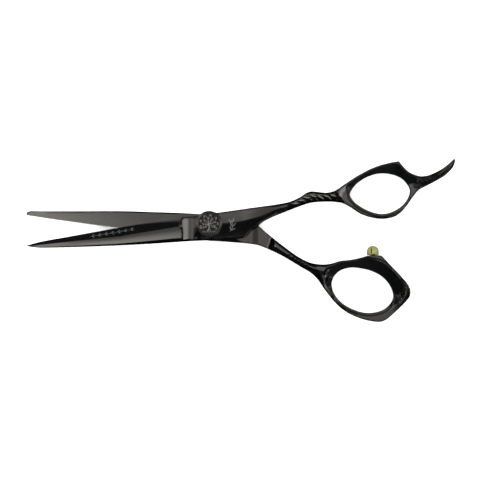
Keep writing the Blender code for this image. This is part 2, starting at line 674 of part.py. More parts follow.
BLACK_STEEL = ((0.055, 0.054, 0.051), 0.16, 1.0)
BRIGHT_STEEL = ((0.60, 0.60, 0.62), 0.20, 1.0)
BRASS = ((0.62, 0.50, 0.26), 0.25, 1.0)
DARK_SPRING = ((0.12, 0.12, 0.14), 0.35, 1.0)
POLYMER = ((0.75, 0.74, 0.70), 0.55, 0.0)


def give_finish(piece, finish):
    colour, roughness, metallic = finish
    material = bpy.data.materials.new(piece.name + "_finish")
    material.use_nodes = True
    shader = material.node_tree.nodes["Principled BSDF"]
    shader.inputs["Base Color"].default_value = (*colour, 1)
    shader.inputs["Roughness"].default_value = roughness
    shader.inputs["Metallic"].default_value = metallic
    piece.data.materials.clear()
    piece.data.materials.append(material)


def add_piece(name, mesh, finish, parent, location=(0, 0, 0), rotation=(0, 0, 0)):
    piece = bpy.data.objects.new(name, mesh)
    bpy.context.scene.collection.objects.link(piece)
    piece.parent = parent
    piece.location = [value * MM for value in location]
    piece.rotation_euler = rotation
    mesh.shade_smooth()
    mesh.set_sharp_from_angle(angle=SHARP_ANGLE)
    give_finish(piece, finish)
    return piece


def add_axis(name, parent=None, height=0):
    """An empty on a joint's axis; every axis here is the pivot axis."""
    axis = bpy.data.objects.new(name, None)
    axis.empty_display_size = 10 * MM
    axis.location.z = height * MM
    bpy.context.scene.collection.objects.link(axis)
    axis.parent = parent
    return axis


def cut(piece, cutter_name, cutter_mesh, location=(0, 0, 0), rotation=(0, 0, 0)):
    """Cut a piece with a hidden cutter object."""
    cutter = bpy.data.objects.new(cutter_name, cutter_mesh)
    bpy.context.scene.collection.objects.link(cutter)
    cutter.parent = piece.parent
    cutter.location = [value * MM for value in location]
    cutter.rotation_euler = rotation
    cutter.hide_render = True
    cutter.display_type = "WIRE"
    boolean = piece.modifiers.new(cutter_name, "BOOLEAN")
    boolean.operation = "DIFFERENCE"
    boolean.solver = "EXACT"
    boolean.object = cutter


def finger_bore_mesh():
    """A bore for the bush, with a counterbore for the bearing."""
    radius = BUSH_RADIUS + FIT
    profile = [(0, -CUT_REACH), (radius, -CUT_REACH), (radius, COUNTERBORE_FLOOR),
               (COUNTERBORE_RADIUS, COUNTERBORE_FLOOR), (COUNTERBORE_RADIUS, CUT_REACH),
               (0, CUT_REACH)]
    return turned_mesh("finger_bore", profile, BORE_SEGMENTS)


def thumb_bore_mesh():
    """A keyed bore through the thumb half."""
    def shape(radius, height, angle):
        return flatted(radius, height, angle, STUD_KEY_FLAT + FIT)

    radius = STUD_KEY_RADIUS + FIT
    profile = [(0, -CUT_REACH), (radius, -CUT_REACH), (radius, CUT_REACH), (0, CUT_REACH)]
    return turned_mesh("thumb_bore", profile, shape=shape)


def cage_pockets_mesh():
    """Eight round pockets, one for each ball."""
    bm = bmesh.new()
    radius = (BALL_RADIUS + FIT) * MM
    for index in range(BALL_COUNT):
        x, y = ball_place(index)
        made = bmesh.ops.create_cone(bm, cap_ends=True, segments=POCKET_SEGMENTS,
                                     depth=POCKET_DEPTH * MM, radius1=radius, radius2=radius)
        bmesh.ops.translate(bm, verts=made["verts"], vec=(x * MM, y * MM, BALL_Z * MM))
    mesh = bpy.data.meshes.new("cage_pockets")
    bm.to_mesh(mesh)
    bm.free()
    return mesh


def ball_place(index):
    angle = 2 * math.pi * index / BALL_COUNT
    return BALL_PITCH_RADIUS * math.cos(angle), BALL_PITCH_RADIUS * math.sin(angle)


def bumper_hole_mesh():
    radius = BUMPER_SCREW_RADIUS + FIT
    floor = -BUMPER_SCREW_DEPTH - BUMPER_HOLE_CLEARANCE
    profile = [(0, floor), (radius, floor), (radius, BUMPER_HOLE_TOP), (0, BUMPER_HOLE_TOP)]
    return turned_mesh("bumper_hole", profile, SCREW_SEGMENTS)


# ---------------------------------------------------------------- the shears

def build_finger_side(axis):
    stretches = [FINGER_EDGE, FINGER_UPPER, TANG_UPPER, FINGER_LOWER, FINGER_SPINE]
    half = Half(1, stretches, FINGER_EDGE, FINGER_SPINE, FINGER_HOLE, FINGER_CREST)
    piece = add_piece("finger_half", half_mesh(half, "finger_half"), BLACK_STEEL, axis)
    cut(piece, "finger_bore", finger_bore_mesh())
    bush_bottom = HALVES_GAP / 2 + BUSH_SETBACK
    bush = ring_profile(STUD_RADIUS + FIT, BUSH_RADIUS, bush_bottom, BUSH_TOP)
    add_piece("pivot_bush", turned_mesh("pivot_bush", bush), BRASS, axis)
    half_washer = WASHER_THICKNESS / 2
    washer_inner = STUD_KEY_RADIUS + WASHER_CLEARANCE
    washer = ring_profile(washer_inner, WASHER_RADIUS, -half_washer, half_washer)
    add_piece("ride_washer", turned_mesh("ride_washer", washer), POLYMER, axis)
    add_piece("lower_race", race_mesh("lower_race", True), BRIGHT_STEEL, axis)


def build_bearing_cage(axis):
    half_cage = CAGE_THICKNESS / 2
    ring = ring_profile(RACE_INNER, RACE_OUTER, BALL_Z - half_cage, BALL_Z + half_cage)
    cage = add_piece("bearing_cage", turned_mesh("bearing_cage", ring), BRASS, axis)
    cut(cage, "cage_pockets", cage_pockets_mesh())
    for index in range(BALL_COUNT):
        x, y = ball_place(index)
        add_piece(f"ball_{index + 1}", ball_mesh(), BRIGHT_STEEL, axis, (x, y, BALL_Z))


def build_thumb_side(axis):
    stretches = [THUMB_EDGE, THUMB_LOWER, THUMB_UPPER, THUMB_SPINE]
    half = Half(-1, stretches, THUMB_EDGE, THUMB_SPINE, THUMB_HOLE, THUMB_CREST)
    piece = add_piece("thumb_half", half_mesh(half, "thumb_half"), BLACK_STEEL, axis)
    cut(piece, "thumb_bore", thumb_bore_mesh())
    seat = (BUMPER_X, BUMPER_SEAT_Y, 0)
    upright = (-math.pi / 2, 0, 0)
    cut(piece, "bumper_hole", bumper_hole_mesh(), seat, upright)
    add_piece("pivot_stud", pivot_stud_mesh(), BLACK_STEEL, axis)
    add_piece("upper_race", race_mesh("upper_race", False), BRIGHT_STEEL, axis)
    add_piece("wave_spring", wave_spring_mesh(), DARK_SPRING, axis)
    washer = ring_profile(BUMPER_SCREW_RADIUS + FIT, BUMPER_WASHER_RADIUS, FIT,
                          BUMPER_WASHER_THICKNESS)
    add_piece("bumper_washer", turned_mesh("bumper_washer", washer), BRASS, axis, seat, upright)
    add_piece("bumper_cap", bumper_cap_mesh(), BRASS, axis, seat, upright)
    add_piece("bumper_screw", bumper_screw_mesh(), BRIGHT_STEEL, axis, seat, upright)


def build_dial(click_axis, dial_axis):
    add_piece("click_plate", click_plate_mesh(), DARK_SPRING, click_axis)
    add_piece("tension_dial", tension_dial_mesh(), BLACK_STEEL, dial_axis)
    add_piece("dial_medallion", medallion_mesh(), BLACK_STEEL, dial_axis)


def clear_scene():
    for item in list(bpy.data.objects):
        bpy.data.objects.remove(item, do_unlink=True)


def main():
    clear_scene()
    finger_axis = add_axis("finger_side_axis", height=-STUD_HEAD_BOTTOM)
    cage_axis = add_axis("bearing_cage_axis", finger_axis)
    thumb_axis = add_axis("blade_pivot_axis", finger_axis)
    click_axis = add_axis("click_plate_axis", thumb_axis)
    dial_axis = add_axis("tension_dial_axis", click_axis)
    build_finger_side(finger_axis)
    build_bearing_cage(cage_axis)
    build_thumb_side(thumb_axis)
    build_dial(click_axis, dial_axis)


main()
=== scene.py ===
"""Looks of the hair cutting shears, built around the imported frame.

The two forged halves are rebuilt here as fine height fields over the same outlines as the CAD
halves, with their bevels, ring facets, scroll relief and etched sprigs. The pivot's pieces and
the bumper are turned again with fine profiles, whose sizes are read from the frame. Lengths in
this script are millimetres, counted from the pivot axis and the mating plane; to_row() turns
them into the frame's metres.
"""

import json
import math
from types import SimpleNamespace

import bmesh
import bpy
import numpy as np
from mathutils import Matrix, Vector
from mathutils.geometry import delaunay_2d_cdt
from mathutils.kdtree import KDTree


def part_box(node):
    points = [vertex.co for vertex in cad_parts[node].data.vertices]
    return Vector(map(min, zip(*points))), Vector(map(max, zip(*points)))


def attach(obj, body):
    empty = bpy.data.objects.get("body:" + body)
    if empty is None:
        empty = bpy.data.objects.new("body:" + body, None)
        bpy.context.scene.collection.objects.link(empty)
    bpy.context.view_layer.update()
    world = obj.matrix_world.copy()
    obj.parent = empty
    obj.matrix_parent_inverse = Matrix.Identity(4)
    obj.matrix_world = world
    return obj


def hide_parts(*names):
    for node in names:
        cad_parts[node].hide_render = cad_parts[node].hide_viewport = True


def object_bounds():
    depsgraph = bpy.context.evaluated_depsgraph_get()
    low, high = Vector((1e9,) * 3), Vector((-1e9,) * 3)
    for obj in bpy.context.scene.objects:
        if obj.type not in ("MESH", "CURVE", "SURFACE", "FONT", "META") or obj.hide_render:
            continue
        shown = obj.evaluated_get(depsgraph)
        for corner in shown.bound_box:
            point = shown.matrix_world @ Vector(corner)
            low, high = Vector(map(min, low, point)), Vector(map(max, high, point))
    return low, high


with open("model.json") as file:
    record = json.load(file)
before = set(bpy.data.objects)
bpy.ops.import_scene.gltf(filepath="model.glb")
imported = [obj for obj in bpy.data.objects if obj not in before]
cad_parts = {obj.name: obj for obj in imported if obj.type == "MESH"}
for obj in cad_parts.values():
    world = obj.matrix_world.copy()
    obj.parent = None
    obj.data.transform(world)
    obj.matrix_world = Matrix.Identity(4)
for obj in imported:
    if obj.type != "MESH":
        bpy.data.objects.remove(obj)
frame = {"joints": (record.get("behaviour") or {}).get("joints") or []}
cad_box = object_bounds()

MM = 0.001
JOINTS = {joint["name"]: joint for joint in frame["joints"]}
PIVOT = Vector(JOINTS["blade_pivot"]["pos_m"])

# ---------------------------------------------------------------- driving dimensions

HALVES_GAP = 0.3
BODY_THICKNESS = 3.0
BLADE_THICKNESS_X = (-72.0, -62.0, -46.0, -10.9)
BLADE_THICKNESS = (0.55, 1.05, 1.5, 2.45)
SHANK_THICKNESS = 4.5
RING_THICKNESS = 4.8
EDGE_THICKNESS = 0.06
FIT = 0.05

# Blade
HEEL_X = -10.9
RICASSO_TOP_X = -7.5
RICASSO_CROWN = 0.015
RICASSO_END_X = (-5.2, -1.0)
EDGE_FACET_X = (-71.8, -68.0, -62.0, -54.0, -46.0, -35.0, -12.0)
EDGE_FACET_WIDTH = (0.5, 1.0, 1.55, 2.1, 2.65, 3.4, 3.4)
EDGE_FACET_CROWN = 0.12
CROWN_X = (-50.0, -22.0)
SPINE_BEVEL_X = (-70.0, -35.0, -15.0)
SPINE_BEVEL_WIDTH = (0.2, 0.8, 1.45)
SPINE_BEVEL_DEPTH = 0.78
FACET_HOLLOW = 0.04
FACET_HOLLOW_X = (-60.0, -35.0)
FACET_TILT = 0.036
FACET_TILT_X = (-70.0, -50.0)
HOLLOW_DEPTH = 0.03
HOLLOW_FROM_PIVOT = (12.0, 20.0)
HONE_WIDTH = 0.45
TIP_BEVEL_X = -70.7
TIP_BEVEL_WIDTH = 0.8
TIP_BEVEL_DEPTH = 0.35
INNER_SPINE_WIDTH = 0.32
INNER_SPINE_DROP = 0.2

# Body, shanks and tang
CROSS_START = 24.3
CROSS_END = 27.2
THIN_START = 12.0
THIN_END = 34.0
UPPER_CHAMFER_WIDTH = 0.4
LOWER_CHAMFER_WIDTH = 0.8
BODY_CHAMFER_SLOPE = 1.4
BODY_STRIP_WIDTH = 0.5
BODY_STRIP_RISE = 0.065
SHANK_EDGE_WIDTH = 1.1
SHANK_EDGE_SHARE = 0.3
CREST_SLOPE = 0.03
BODY_FLANK_SLOPE = 0.19
SHANK_FLANK_SLOPE = 0.5
BODY_CREST_ROUND = 0.7
DEEPEST_FALL = 1.5
SHANK_CREST_ROUND = 0.15
FINGER_FACETS_X = (-6.2, -3.0)
THUMB_FACETS_X = (-3.0, 6.0)
DROP_BLEND = 0.12
TANG_SLOPE = 0.16
TANG_CREST_ROUND = 0.3
TANG_CREST_X = (79.0, 82.0, 90.0, 94.5)
TANG_ROOT_X = 82.0
TANG_TIP_X = 95.9
TANG_TIP_THICKNESS = 2.4

# Rings: a slanted section, whose crest lies outwards on the lean side and inwards opposite it
RING_LEAN_DIRECTION = math.radians(75)
RING_NEAR = 2.8
RING_FAR = 5.0
BROAD_CORNER = 3.5
FINGER_CORNER_Y = (17.0, 19.5)
THUMB_CORNER_X = (58.0, 62.0)
WALL_SLOPE = 0.675
WALL_SLOPE_SWING = 0.125
NARROW_WALL = 1.7
BROAD_WALL = 4.6
RIM_FACET_WIDTH = 0.65
RING_WIDTHS = (1.0, 6.0)
# The cosine of the angle from the lean, between which one form of the section becomes another
WALL_TURN = (-0.4, 0.15)
REACH_TURN = (-0.25, 0.2)
FACET_TURN = (0.35, 0.75)
RIM_FACET_SLOPE = 0.02
OUTWARD_FACET_SLOPE = 0.2
OUTER_SLOPE = 0.02
BEAD_WIDTH = 0.95
BEAD_DROP = 0.6
BEAD_ROUND_SHARE = 0.35
GROOVE_DEPTH = 0.34
GROOVE_HALF_WIDTH = 0.28
EDGE_ROUND = 0.22
ETCHING_RISE = 0.012
# Drop and width of the ring's outer edge, on its narrow side and on its wall side
NARROW_EDGE = (0.65, 0.5)
WALL_EDGE = (0.3, 0.3)
GROUND_DEPTH = 0.16
# A painted highlight along the rims and on the ornament's crowns: its strength, its reach from the rim, and
# the relief heights over which it grows
EDGE_HIGHLIGHT = 0.2
HIGHLIGHT_REACH = 0.35
ORNAMENT_FADE = (0.1, 0.45)
ORNAMENT_HIGHLIGHT = (0.14, 0.36)
ZONE_EDGE = 0.5
ZONE_MARGIN = 0.15

# Bumper seat, for the thumb ring's full-height boss
BUMPER_X = 63.8
BUMPER_SEAT_Y = -12.15
BUMPER_BOSS_REACH = 3.2
BUMPER_BOSS_FADE = 1.5
BUMPER_BORE = 0.85
BUMPER_BORE_DEPTH = 1.1
DOME_CLEARANCE = 0.12
DOME_STEPS = 16
FLUTE_ANGLE = math.radians(-108)
FLUTE_HALF_WIDTH = 0.34
FLUTE_START = 0.3
FLUTE_LENGTH = 2.1
FLUTE_DEPTH = 0.3

# Stud, spring, click plate and dial
STUD_KEY_RADIUS = 2.4
STUD_KEY_FLAT = 1.9
STUD_KEY_TOP = -0.45
STUD_RADIUS = 1.9
THREAD_RADIUS = 1.45
THREAD_FLAT = 1.15
THREAD_DEPTH = 0.1
THREAD_PITCH = 0.25
SPRING_WAVE = 0.06
SPRING_WAVES = 3
SPRING_INNER = 2.6
WASHER_INNER = 2.5
SCALLOP_DEPTH = 0.1
SCALLOPS = 12
SKIRT_INNER = 4.4
SKIRT_TEETH = 60
TOOTH_DEPTH = 0.05
CONE_SLOPE = 0.44
MEDALLION_SINK = 0.17
BRANCHES = 13
BALLS = range(1, 9)

# Outlines, as stretches that meet at corners. Each stretch is a smooth curve through its points.
FINGER_EDGE = [(-71.8, -8.5), (-65.8, -6.9), (-54.1, -4.8), (-42.4, -2.7), (-30.9, -0.7), (-19.2, 1.2),
    (-10.0, 2.7)]
FINGER_UPPER = [(-10.0, 2.7), (-5.1, 3.0), (-0.1, 3.9), (5.0, 4.6), (16.1, 6.2), (27.8, 7.9),
    (31.7, 8.8), (35.6, 10.6), (37.8, 12.1), (39.7, 12.7), (42.4, 12.5), (45.6, 12.2), (48.7, 12.9),
    (53.2, 15.8), (59.0, 19.5), (64.9, 22.3), (69.7, 23.7), (73.9, 24.5)]
TANG_UPPER = [(73.9, 24.5), (75.4, 22.5), (77.7, 20.3), (80.5, 19.0), (83.0, 18.6), (86.3, 19.3),
    (90.2, 21.2), (93.1, 23.3), (95.7, 25.7)]
FINGER_LOWER = [(95.7, 25.7), (95.9, 24.4), (95.1, 22.2), (92.2, 19.1), (88.3, 16.7), (84.4, 14.7),
    (81.6, 13.2), (79.3, 10.5), (76.6, 6.6), (73.6, 3.6), (70.5, 2.3), (66.8, 2.0), (62.9, 2.6),
    (59.0, 4.0), (55.1, 6.5), (52.2, 8.0), (48.7, 8.6), (43.2, 8.6), (39.5, 8.2), (35.6, 7.0),
    (31.7, 5.5), (23.9, 2.3), (20.6, 0.5), (18.3, -1.7)]
FINGER_SPINE = [(18.3, -1.7), (16.5, -2.8), (14.9, -4.6), (13.2, -5.5), (8.9, -6.0), (-0.1, -6.4),
    (-7.5, -6.7), (-19.2, -7.5), (-30.9, -8.2), (-42.6, -8.7), (-54.3, -9.1), (-62.1, -9.3),
    (-66.8, -9.3), (-69.9, -8.9), (-71.8, -8.5)]
FINGER_HOLE = [(54.8, 11.6), (55.9, 13.8), (57.8, 15.9), (61.0, 18.0), (64.9, 19.4), (68.8, 19.7),
    (72.7, 18.9), (75.6, 17.3), (77.6, 14.9), (78.3, 12.9), (77.7, 10.5), (76.5, 8.5), (74.6, 6.6),
    (70.7, 4.5), (66.8, 3.9), (62.9, 4.8), (59.0, 6.7), (56.9, 8.2), (55.3, 10.1)]
FINGER_CREST = [(-9.5, -1.6), (-7.0, -1.3), (-4.4, -0.7), (0.0, 0.3), (5.0, 0.3), (12.0, 1.1),
    (20.6, 3.3), (25.0, 5.2), (31.5, 7.0), (39.3, 9.9), (44.5, 10.7), (48.7, 11.3), (51.5, 10.5),
    (54.3, 9.0)]
# The step up from the blade to the body: its foot and its top, as X for a few heights in Y
FINGER_HEEL_Y = (-7.0, -3.9, -3.1, -1.95, -1.2, 0.0, 1.2, 2.5, 4.0)
FINGER_HEEL_FOOT = (-10.7, -10.45, -10.7, -11.0, -11.6, -11.6, -11.3, -10.8, -10.8)
FINGER_HEEL_TOP = (-10.1, -10.05, -10.1, -10.2, -10.3, -10.45, -10.5, -9.7, -9.7)
TANG_CREST = [(79.5, 15.9), (84.0, 16.7), (88.0, 18.2), (92.0, 20.8), (95.4, 24.4)]

THUMB_EDGE = [(-71.4, 3.4), (-61.9, 2.0), (-50.2, 0.4), (-38.5, -1.1), (-27.0, -2.1), (-17.2, -2.8),
    (-9.8, -3.3)]
THUMB_LOWER = [(-9.8, -3.3), (-5.1, -4.9), (-0.9, -6.4), (4.4, -6.8), (12.2, -7.4), (18.3, -8.1),
    (21.0, -9.0), (27.8, -12.1), (35.6, -16.7), (39.5, -19.0), (42.0, -21.3), (45.4, -26.1),
    (49.3, -30.9), (53.2, -34.2), (59.0, -36.9), (63.9, -38.0), (67.0, -38.1), (69.1, -37.2),
    (71.3, -35.4), (74.6, -32.3), (76.9, -29.9), (78.2, -27.9), (78.4, -25.9), (77.5, -23.7),
    (74.6, -20.2), (70.7, -16.1), (67.1, -12.3)]
THUMB_UPPER = [(67.1, -12.3), (63.1, -12.2), (59.0, -13.2), (55.1, -14.0), (51.2, -14.4), (47.3, -15.5),
    (44.0, -15.8), (39.5, -15.1), (35.6, -13.3), (31.7, -10.7), (23.9, -4.7), (19.2, -0.7)]
THUMB_SPINE = [(19.2, -0.7), (15.9, 1.6), (12.0, 3.0), (6.2, 3.7), (-3.4, 3.9), (-11.2, 4.3),
    (-22.9, 4.7), (-32.8, 5.0), (-50.4, 5.0), (-66.0, 5.0), (-70.1, 5.0), (-71.2, 4.5), (-71.4, 3.4)]
THUMB_HOLE = [(47.7, -23.4), (48.2, -21.4), (49.4, -19.5), (51.2, -18.1), (53.4, -17.3), (56.1, -17.0),
    (59.0, -17.3), (62.9, -18.2), (66.8, -20.1), (69.5, -22.6), (71.1, -25.2), (71.8, -27.7),
    (71.4, -29.6), (70.1, -31.6), (68.0, -33.3), (64.9, -34.4), (61.5, -34.7), (58.0, -34.0),
    (54.1, -32.3), (51.2, -30.3), (49.3, -28.1), (48.1, -25.7)]
THUMB_CREST = [(-4.0, -1.3), (12.0, -3.6), (24.5, -8.4), (31.5, -12.5), (39.3, -16.8), (45.2, -18.7)]
THUMB_HEEL_Y = (-4.0, 0.5, 5.0)
THUMB_HEEL_FOOT = (-10.5, -11.0, -10.5)
THUMB_HEEL_TOP = (-10.1, -10.6, -10.1)
# The thumb half's inner face: a hollow before the crossing step, and a bevel along its lower edge
TROUGH_START = 16.2
TROUGH_END = 19.8
TROUGH_DEPTH = 0.2
LOWER_BEVEL_WIDTH = 1.5
LOWER_BEVEL_DEPTH = 0.55
LOWER_BEVEL_X = (-8.0, -6.0, 9.0, 14.5)

# Mesh density
CURVE_STEP = 0.2
RIM_ROWS = (0.07, 0.18, 0.5)
HOLE_ROWS = (0.07, 0.18, 0.33, 0.67, 0.95, 1.23)
ROW_GAP = 0.1
ROW_TO_LINE_GAP = 0.06
RELIEF_SPACING = 0.12
HANDLE_SPACING = 0.24
BLADE_SPACING = 0.6


# ---------------------------------------------------------------- curves, distances, blending

def sample_spans(padded, step):
    """Centripetal Catmull-Rom samples between the second and the last but one point."""
    samples = []
    for before, start, end, after in zip(padded, padded[1:], padded[2:], padded[3:]):
        k0 = math.sqrt(np.linalg.norm(start - before))
        k1 = k0 + math.sqrt(np.linalg.norm(end - start))
        k2 = k1 + math.sqrt(np.linalg.norm(after - end))
        count = max(2, round(np.linalg.norm(end - start) / step))
        t = np.linspace(k0, k1, count, endpoint=False)[:, None]
        a1 = (k0 - t) / k0 * before + t / k0 * start
        a2 = (k1 - t) / (k1 - k0) * start + (t - k0) / (k1 - k0) * end
        a3 = (k2 - t) / (k2 - k1) * end + (t - k1) / (k2 - k1) * after
        b1 = (k1 - t) / k1 * a1 + t / k1 * a2
        b2 = (k2 - t) / (k2 - k0) * a2 + (t - k0) / (k2 - k0) * a3
        samples.append((k1 - t) / (k1 - k0) * b1 + (t - k0) / (k1 - k0) * b2)
    samples.append(padded[-2][None, :])
    return np.vstack(samples)


def curve_through(points, step=CURVE_STEP):
    points = np.array(points, float)
    padded = np.vstack([2 * points[0] - points[1], points, 2 * points[-1] - points[-2]])
    return sample_spans(padded, step)


def loop_through(points, step=CURVE_STEP):
    points = np.array(points, float)
    padded = np.vstack([points[-1], points, points[0], points[1]])
    return sample_spans(padded, step)[:-1]


def circle(radius, count, centre=(0, 0), flat=None):
    """A closed circle; with flat, its two sides are cut at that half width."""
    angles = np.arange(count) * 2 * math.pi / count
    y = radius * np.sin(angles)
    if flat is not None:
        y = np.clip(y, -flat, flat)
    return np.column_stack([radius * np.cos(angles), y]) + centre


def search_tree(places):
    tree = KDTree(len(places))
    for index, (x, y) in enumerate(places):
        tree.insert((x, y, 0), index)
    tree.balance()
    return tree


def left_of(along):
    """Unit vectors to the left of the given directions."""
    normal = np.column_stack([-along[:, 1], along[:, 0]])
    return normal / np.maximum(np.linalg.norm(normal, axis=1), 1e-9)[:, None]


class Line:
    """A sampled curve that tells how far points lie from it, and on which side."""

    def __init__(self, samples, closed=False):
        self.samples = samples
        self.closed = closed
        self.tree = search_tree(samples)

    def signed(self, points):
        """Distance from each point, positive to the left of the line."""
        nearest = np.array([self.tree.find((x, y, 0))[1] for x, y in points])
        best = np.full(len(points), 1e9)
        sign = np.ones(len(points))
        for shift in (-1, 0):
            if self.closed:
                first = (nearest + shift) % len(self.samples)
                second = (first + 1) % len(self.samples)
            else:
                first = np.clip(nearest + shift, 0, len(self.samples) - 2)
                second = first + 1
            start = self.samples[first]
            along = self.samples[second] - start
            offset = points - start
            length = np.maximum((along ** 2).sum(axis=1), 1e-12)
            share = np.clip((offset * along).sum(axis=1) / length, 0, 1)
            gap = np.hypot(*(offset - share[:, None] * along).T)
            turn = along[:, 0] * offset[:, 1] - along[:, 1] * offset[:, 0]
            closer = gap < best
            best = np.where(closer, gap, best)
            sign = np.where(closer, np.where(turn < 0, -1.0, 1.0), sign)
        return best * sign

    def distance(self, points):
        return np.abs(self.signed(points))

    def along(self, length, offset=0.0):
        """The point at a length along the line, moved to its left."""
        steps = np.hypot(*np.diff(self.samples, axis=0).T)
        marks = np.concatenate([[0], np.cumsum(steps)])
        behind, place, ahead = (
            np.array([np.interp(length + shift, marks, self.samples[:, axis]) for axis in (0, 1)])
            for shift in (-0.2, 0.0, 0.2))
        return place + offset * left_of((ahead - behind)[None])[0]


def nearest_gap(lines, points, closed=True):
    """The distance from each point to the nearest of several lines."""
    return np.min([Line(line, closed).distance(points) for line in lines], axis=0)


def inside(loop, points):
    """True where a point lies inside a closed loop, by counting crossings."""
    x, y = points[:, 0], points[:, 1]
    found = np.zeros(len(points), bool)
    for (x0, y0), (x1, y1) in zip(loop, np.roll(loop, -1, axis=0)):
        spans = (y0 > y) != (y1 > y)
        if spans.any():
            crossing = x0 + (y[spans] - y0) * (x1 - x0) / (y1 - y0)
            found[spans] ^= x[spans] < crossing
    return found


def in_material(loops, points):
    found = inside(loops[0], points)
    for loop in loops[1:]:
        found &= ~inside(loop, points)
    return found


def smooth(value, low, high):
    share = np.clip((value - low) / (high - low), 0, 1)
    return share * share * (3 - 2 * share)


def mix(first, second, share):
    return first + (second - first) * share


def soft_min(first, second, radius):
    """The smaller of two heights, with the crease between them rounded over."""
    share = np.clip(0.5 + 0.5 * (second - first) / radius, 0, 1)
    return mix(second, first, share) - radius * share * (1 - share)


def soft_max(first, second, radius):
    return -soft_min(-first, -second, radius)


# ---------------------------------------------------------------- raised and cut ornament

class Ornament:
    """Flat-topped strands raised from, or cut into, a surface. Samples have a radius and a height."""

    def __init__(self):
        self.places = []
        self.radii = []
        self.heights = []

    def strand(self, points, radius, height, taper=0.45):
        """A strand along points whose ends narrow to the taper share of its radius."""
        points = curve_through(points, 0.05) if len(points) > 1 else np.array(points, float)
        share = np.linspace(0, 1, len(points))
        swell = taper + (1 - taper) * np.sin(math.pi * share) ** 0.6
        self.places.extend(points)
        self.radii.extend(radius * swell)
        self.heights.extend([height] * len(points))

    def bead(self, place, radius, height):
        self.places.append(place)
        self.radii.append(radius)
        self.heights.append(height)

    def spiral(self, centre, radius, start, turns, width, height, handed=1):
        """A curl that winds inwards to its centre, with a bead at its eye."""
        steps = 26
        points = []
        for step in range(steps + 1):
            share = step / steps
            angle = start + handed * share * turns * 2 * math.pi
            reach = radius * (1 - 0.82 * share)
            points.append((centre[0] + reach * math.cos(angle),
                           centre[1] + reach * math.sin(angle)))
        self.strand(points, width, height, taper=0.6)
        self.bead(centre, width * 1.1, height)

    def leaf(self, root, direction, length, bend, width, height):
        """A pointed leaf that bends away from its first direction."""
        root = np.array(root, float)
        heading = np.array([math.cos(direction), math.sin(direction)])
        side = np.array([-heading[1], heading[0]])
        middle = root + heading * length * 0.5 + side * bend * 0.35
        tip = root + heading * length + side * bend
        self.strand([root, middle, tip], width, height, taper=0.25)

    def relief(self, points):
        """Height of the ornament over each point."""
        raised = np.zeros(len(points))
        if not self.places:
            return raised
        tree = search_tree(self.places)
        reach = max(self.radii)
        for index, (x, y) in enumerate(points):
            for _, found, gap in tree.find_range((x, y, 0), reach):
                radius = self.radii[found]
                if gap < radius:
                    value = self.heights[found] * min(1, 1.6 * math.sqrt(1 - (gap / radius) ** 2))
                    if abs(value) > abs(raised[index]):
                        raised[index] = value
        return raised


# ---------------------------------------------------------------- meshes from height fields

def triangulate(loops, lines, loose):
    """Triangles inside the loops that keep the loops' and lines' edges.

    Returns the plan points, the triangles, and for each point the line it lies on, or -1.
    """
    corners, edges, owner = [], [], []
    for index, (line, closed) in enumerate([(l, True) for l in loops] + [(l, False) for l in lines]):
        first = len(corners)
        corners.extend(line)
        owner.extend([index - len(loops) if index >= len(loops) else -1] * len(line))
        edges.extend((first + i, first + i + 1) for i in range(len(line) - 1))
        if closed:
            edges.append((first + len(line) - 1, first))
    flat = [tuple(p) for p in np.vstack([np.array(corners), loose])]
    found = delaunay_2d_cdt(flat, edges, [], 0, 1e-4, True)
    plan = np.array([tuple(v) for v in found[0]])
    on_line = np.array([max([owner[i] for i in origin if i < len(owner)], default=-1)
                        for origin in found[3]])
    triangles = np.array(found[2])
    return plan, triangles[in_material(loops, plan[triangles].mean(axis=1))], on_line


def raised_mesh(name, plan, triangles, top, bottom, marks=None):
    """A closed mesh between two height fields over the same triangles."""
    used = np.unique(triangles)
    renumber = np.full(len(plan), -1)
    renumber[used] = np.arange(len(used))
    triangles = renumber[triangles]
    plan, top, bottom = plan[used], top[used], bottom[used]
    count = len(plan)
    lower = triangles[:, ::-1] + count
    keys = {}
    for shift in range(3):
        for a, b in zip(triangles[:, shift].tolist(), triangles[:, (shift + 1) % 3].tolist()):
            keys[(a, b)] = True
    walls = [(b, a, a + count, b + count) for a, b in keys if (b, a) not in keys]
    corners = np.vstack([np.column_stack([plan, top]), np.column_stack([plan, bottom])])
    mesh = bpy.data.meshes.new(name)
    mesh.from_pydata(to_row(corners).tolist(), [], triangles.tolist() + lower.tolist() + walls)
    for key, values in (marks or {}).items():
        layer = mesh.attributes.new(key, "FLOAT", "POINT")
        first, second = values
        layer.data.foreach_set("value", np.concatenate([first[used], second[used]]))
    bm = bmesh.new()
    bm.from_mesh(mesh)
    bmesh.ops.recalc_face_normals(bm, faces=bm.faces)
    bm.to_mesh(mesh)
    bm.free()
    return mesh


def finished(mesh, sharp_degrees):
    """Smooth shading, with the edges that turn by more than an angle kept sharp."""
    mesh.shade_smooth()
    mesh.set_sharp_from_angle(angle=math.radians(sharp_degrees))
    return mesh


def add_object(name, data):
    made = bpy.data.objects.new(name, data)
    bpy.context.scene.collection.objects.link(made)
    return made


def to_row(places):
    """Millimetres from the pivot and the mating plane, to metres in the frame."""
    return np.asarray(places) * MM + np.array(PIVOT)


def crease(mesh, on_line, used_lines):
    """Mark the edges that run along the given feature lines as sharp."""
    edge_ends = np.empty(len(mesh.edges) * 2, int)
    mesh.edges.foreach_get("vertices", edge_ends)
    edge_ends = edge_ends.reshape(-1, 2)
    lines = np.concatenate([on_line, np.full(len(mesh.vertices) - len(on_line), -1)])
    first, second = lines[edge_ends[:, 0]], lines[edge_ends[:, 1]]
    along = (first == second) & np.isin(first, used_lines)
    sharp = np.zeros(len(mesh.edges), bool)
    layer = mesh.attributes.get("sharp_edge") or mesh.attributes.new("sharp_edge", "BOOLEAN", "EDGE")
    layer.data.foreach_get("value", sharp)
    layer.data.foreach_set("value", sharp | along)


# ---------------------------------------------------------------- the two forged halves

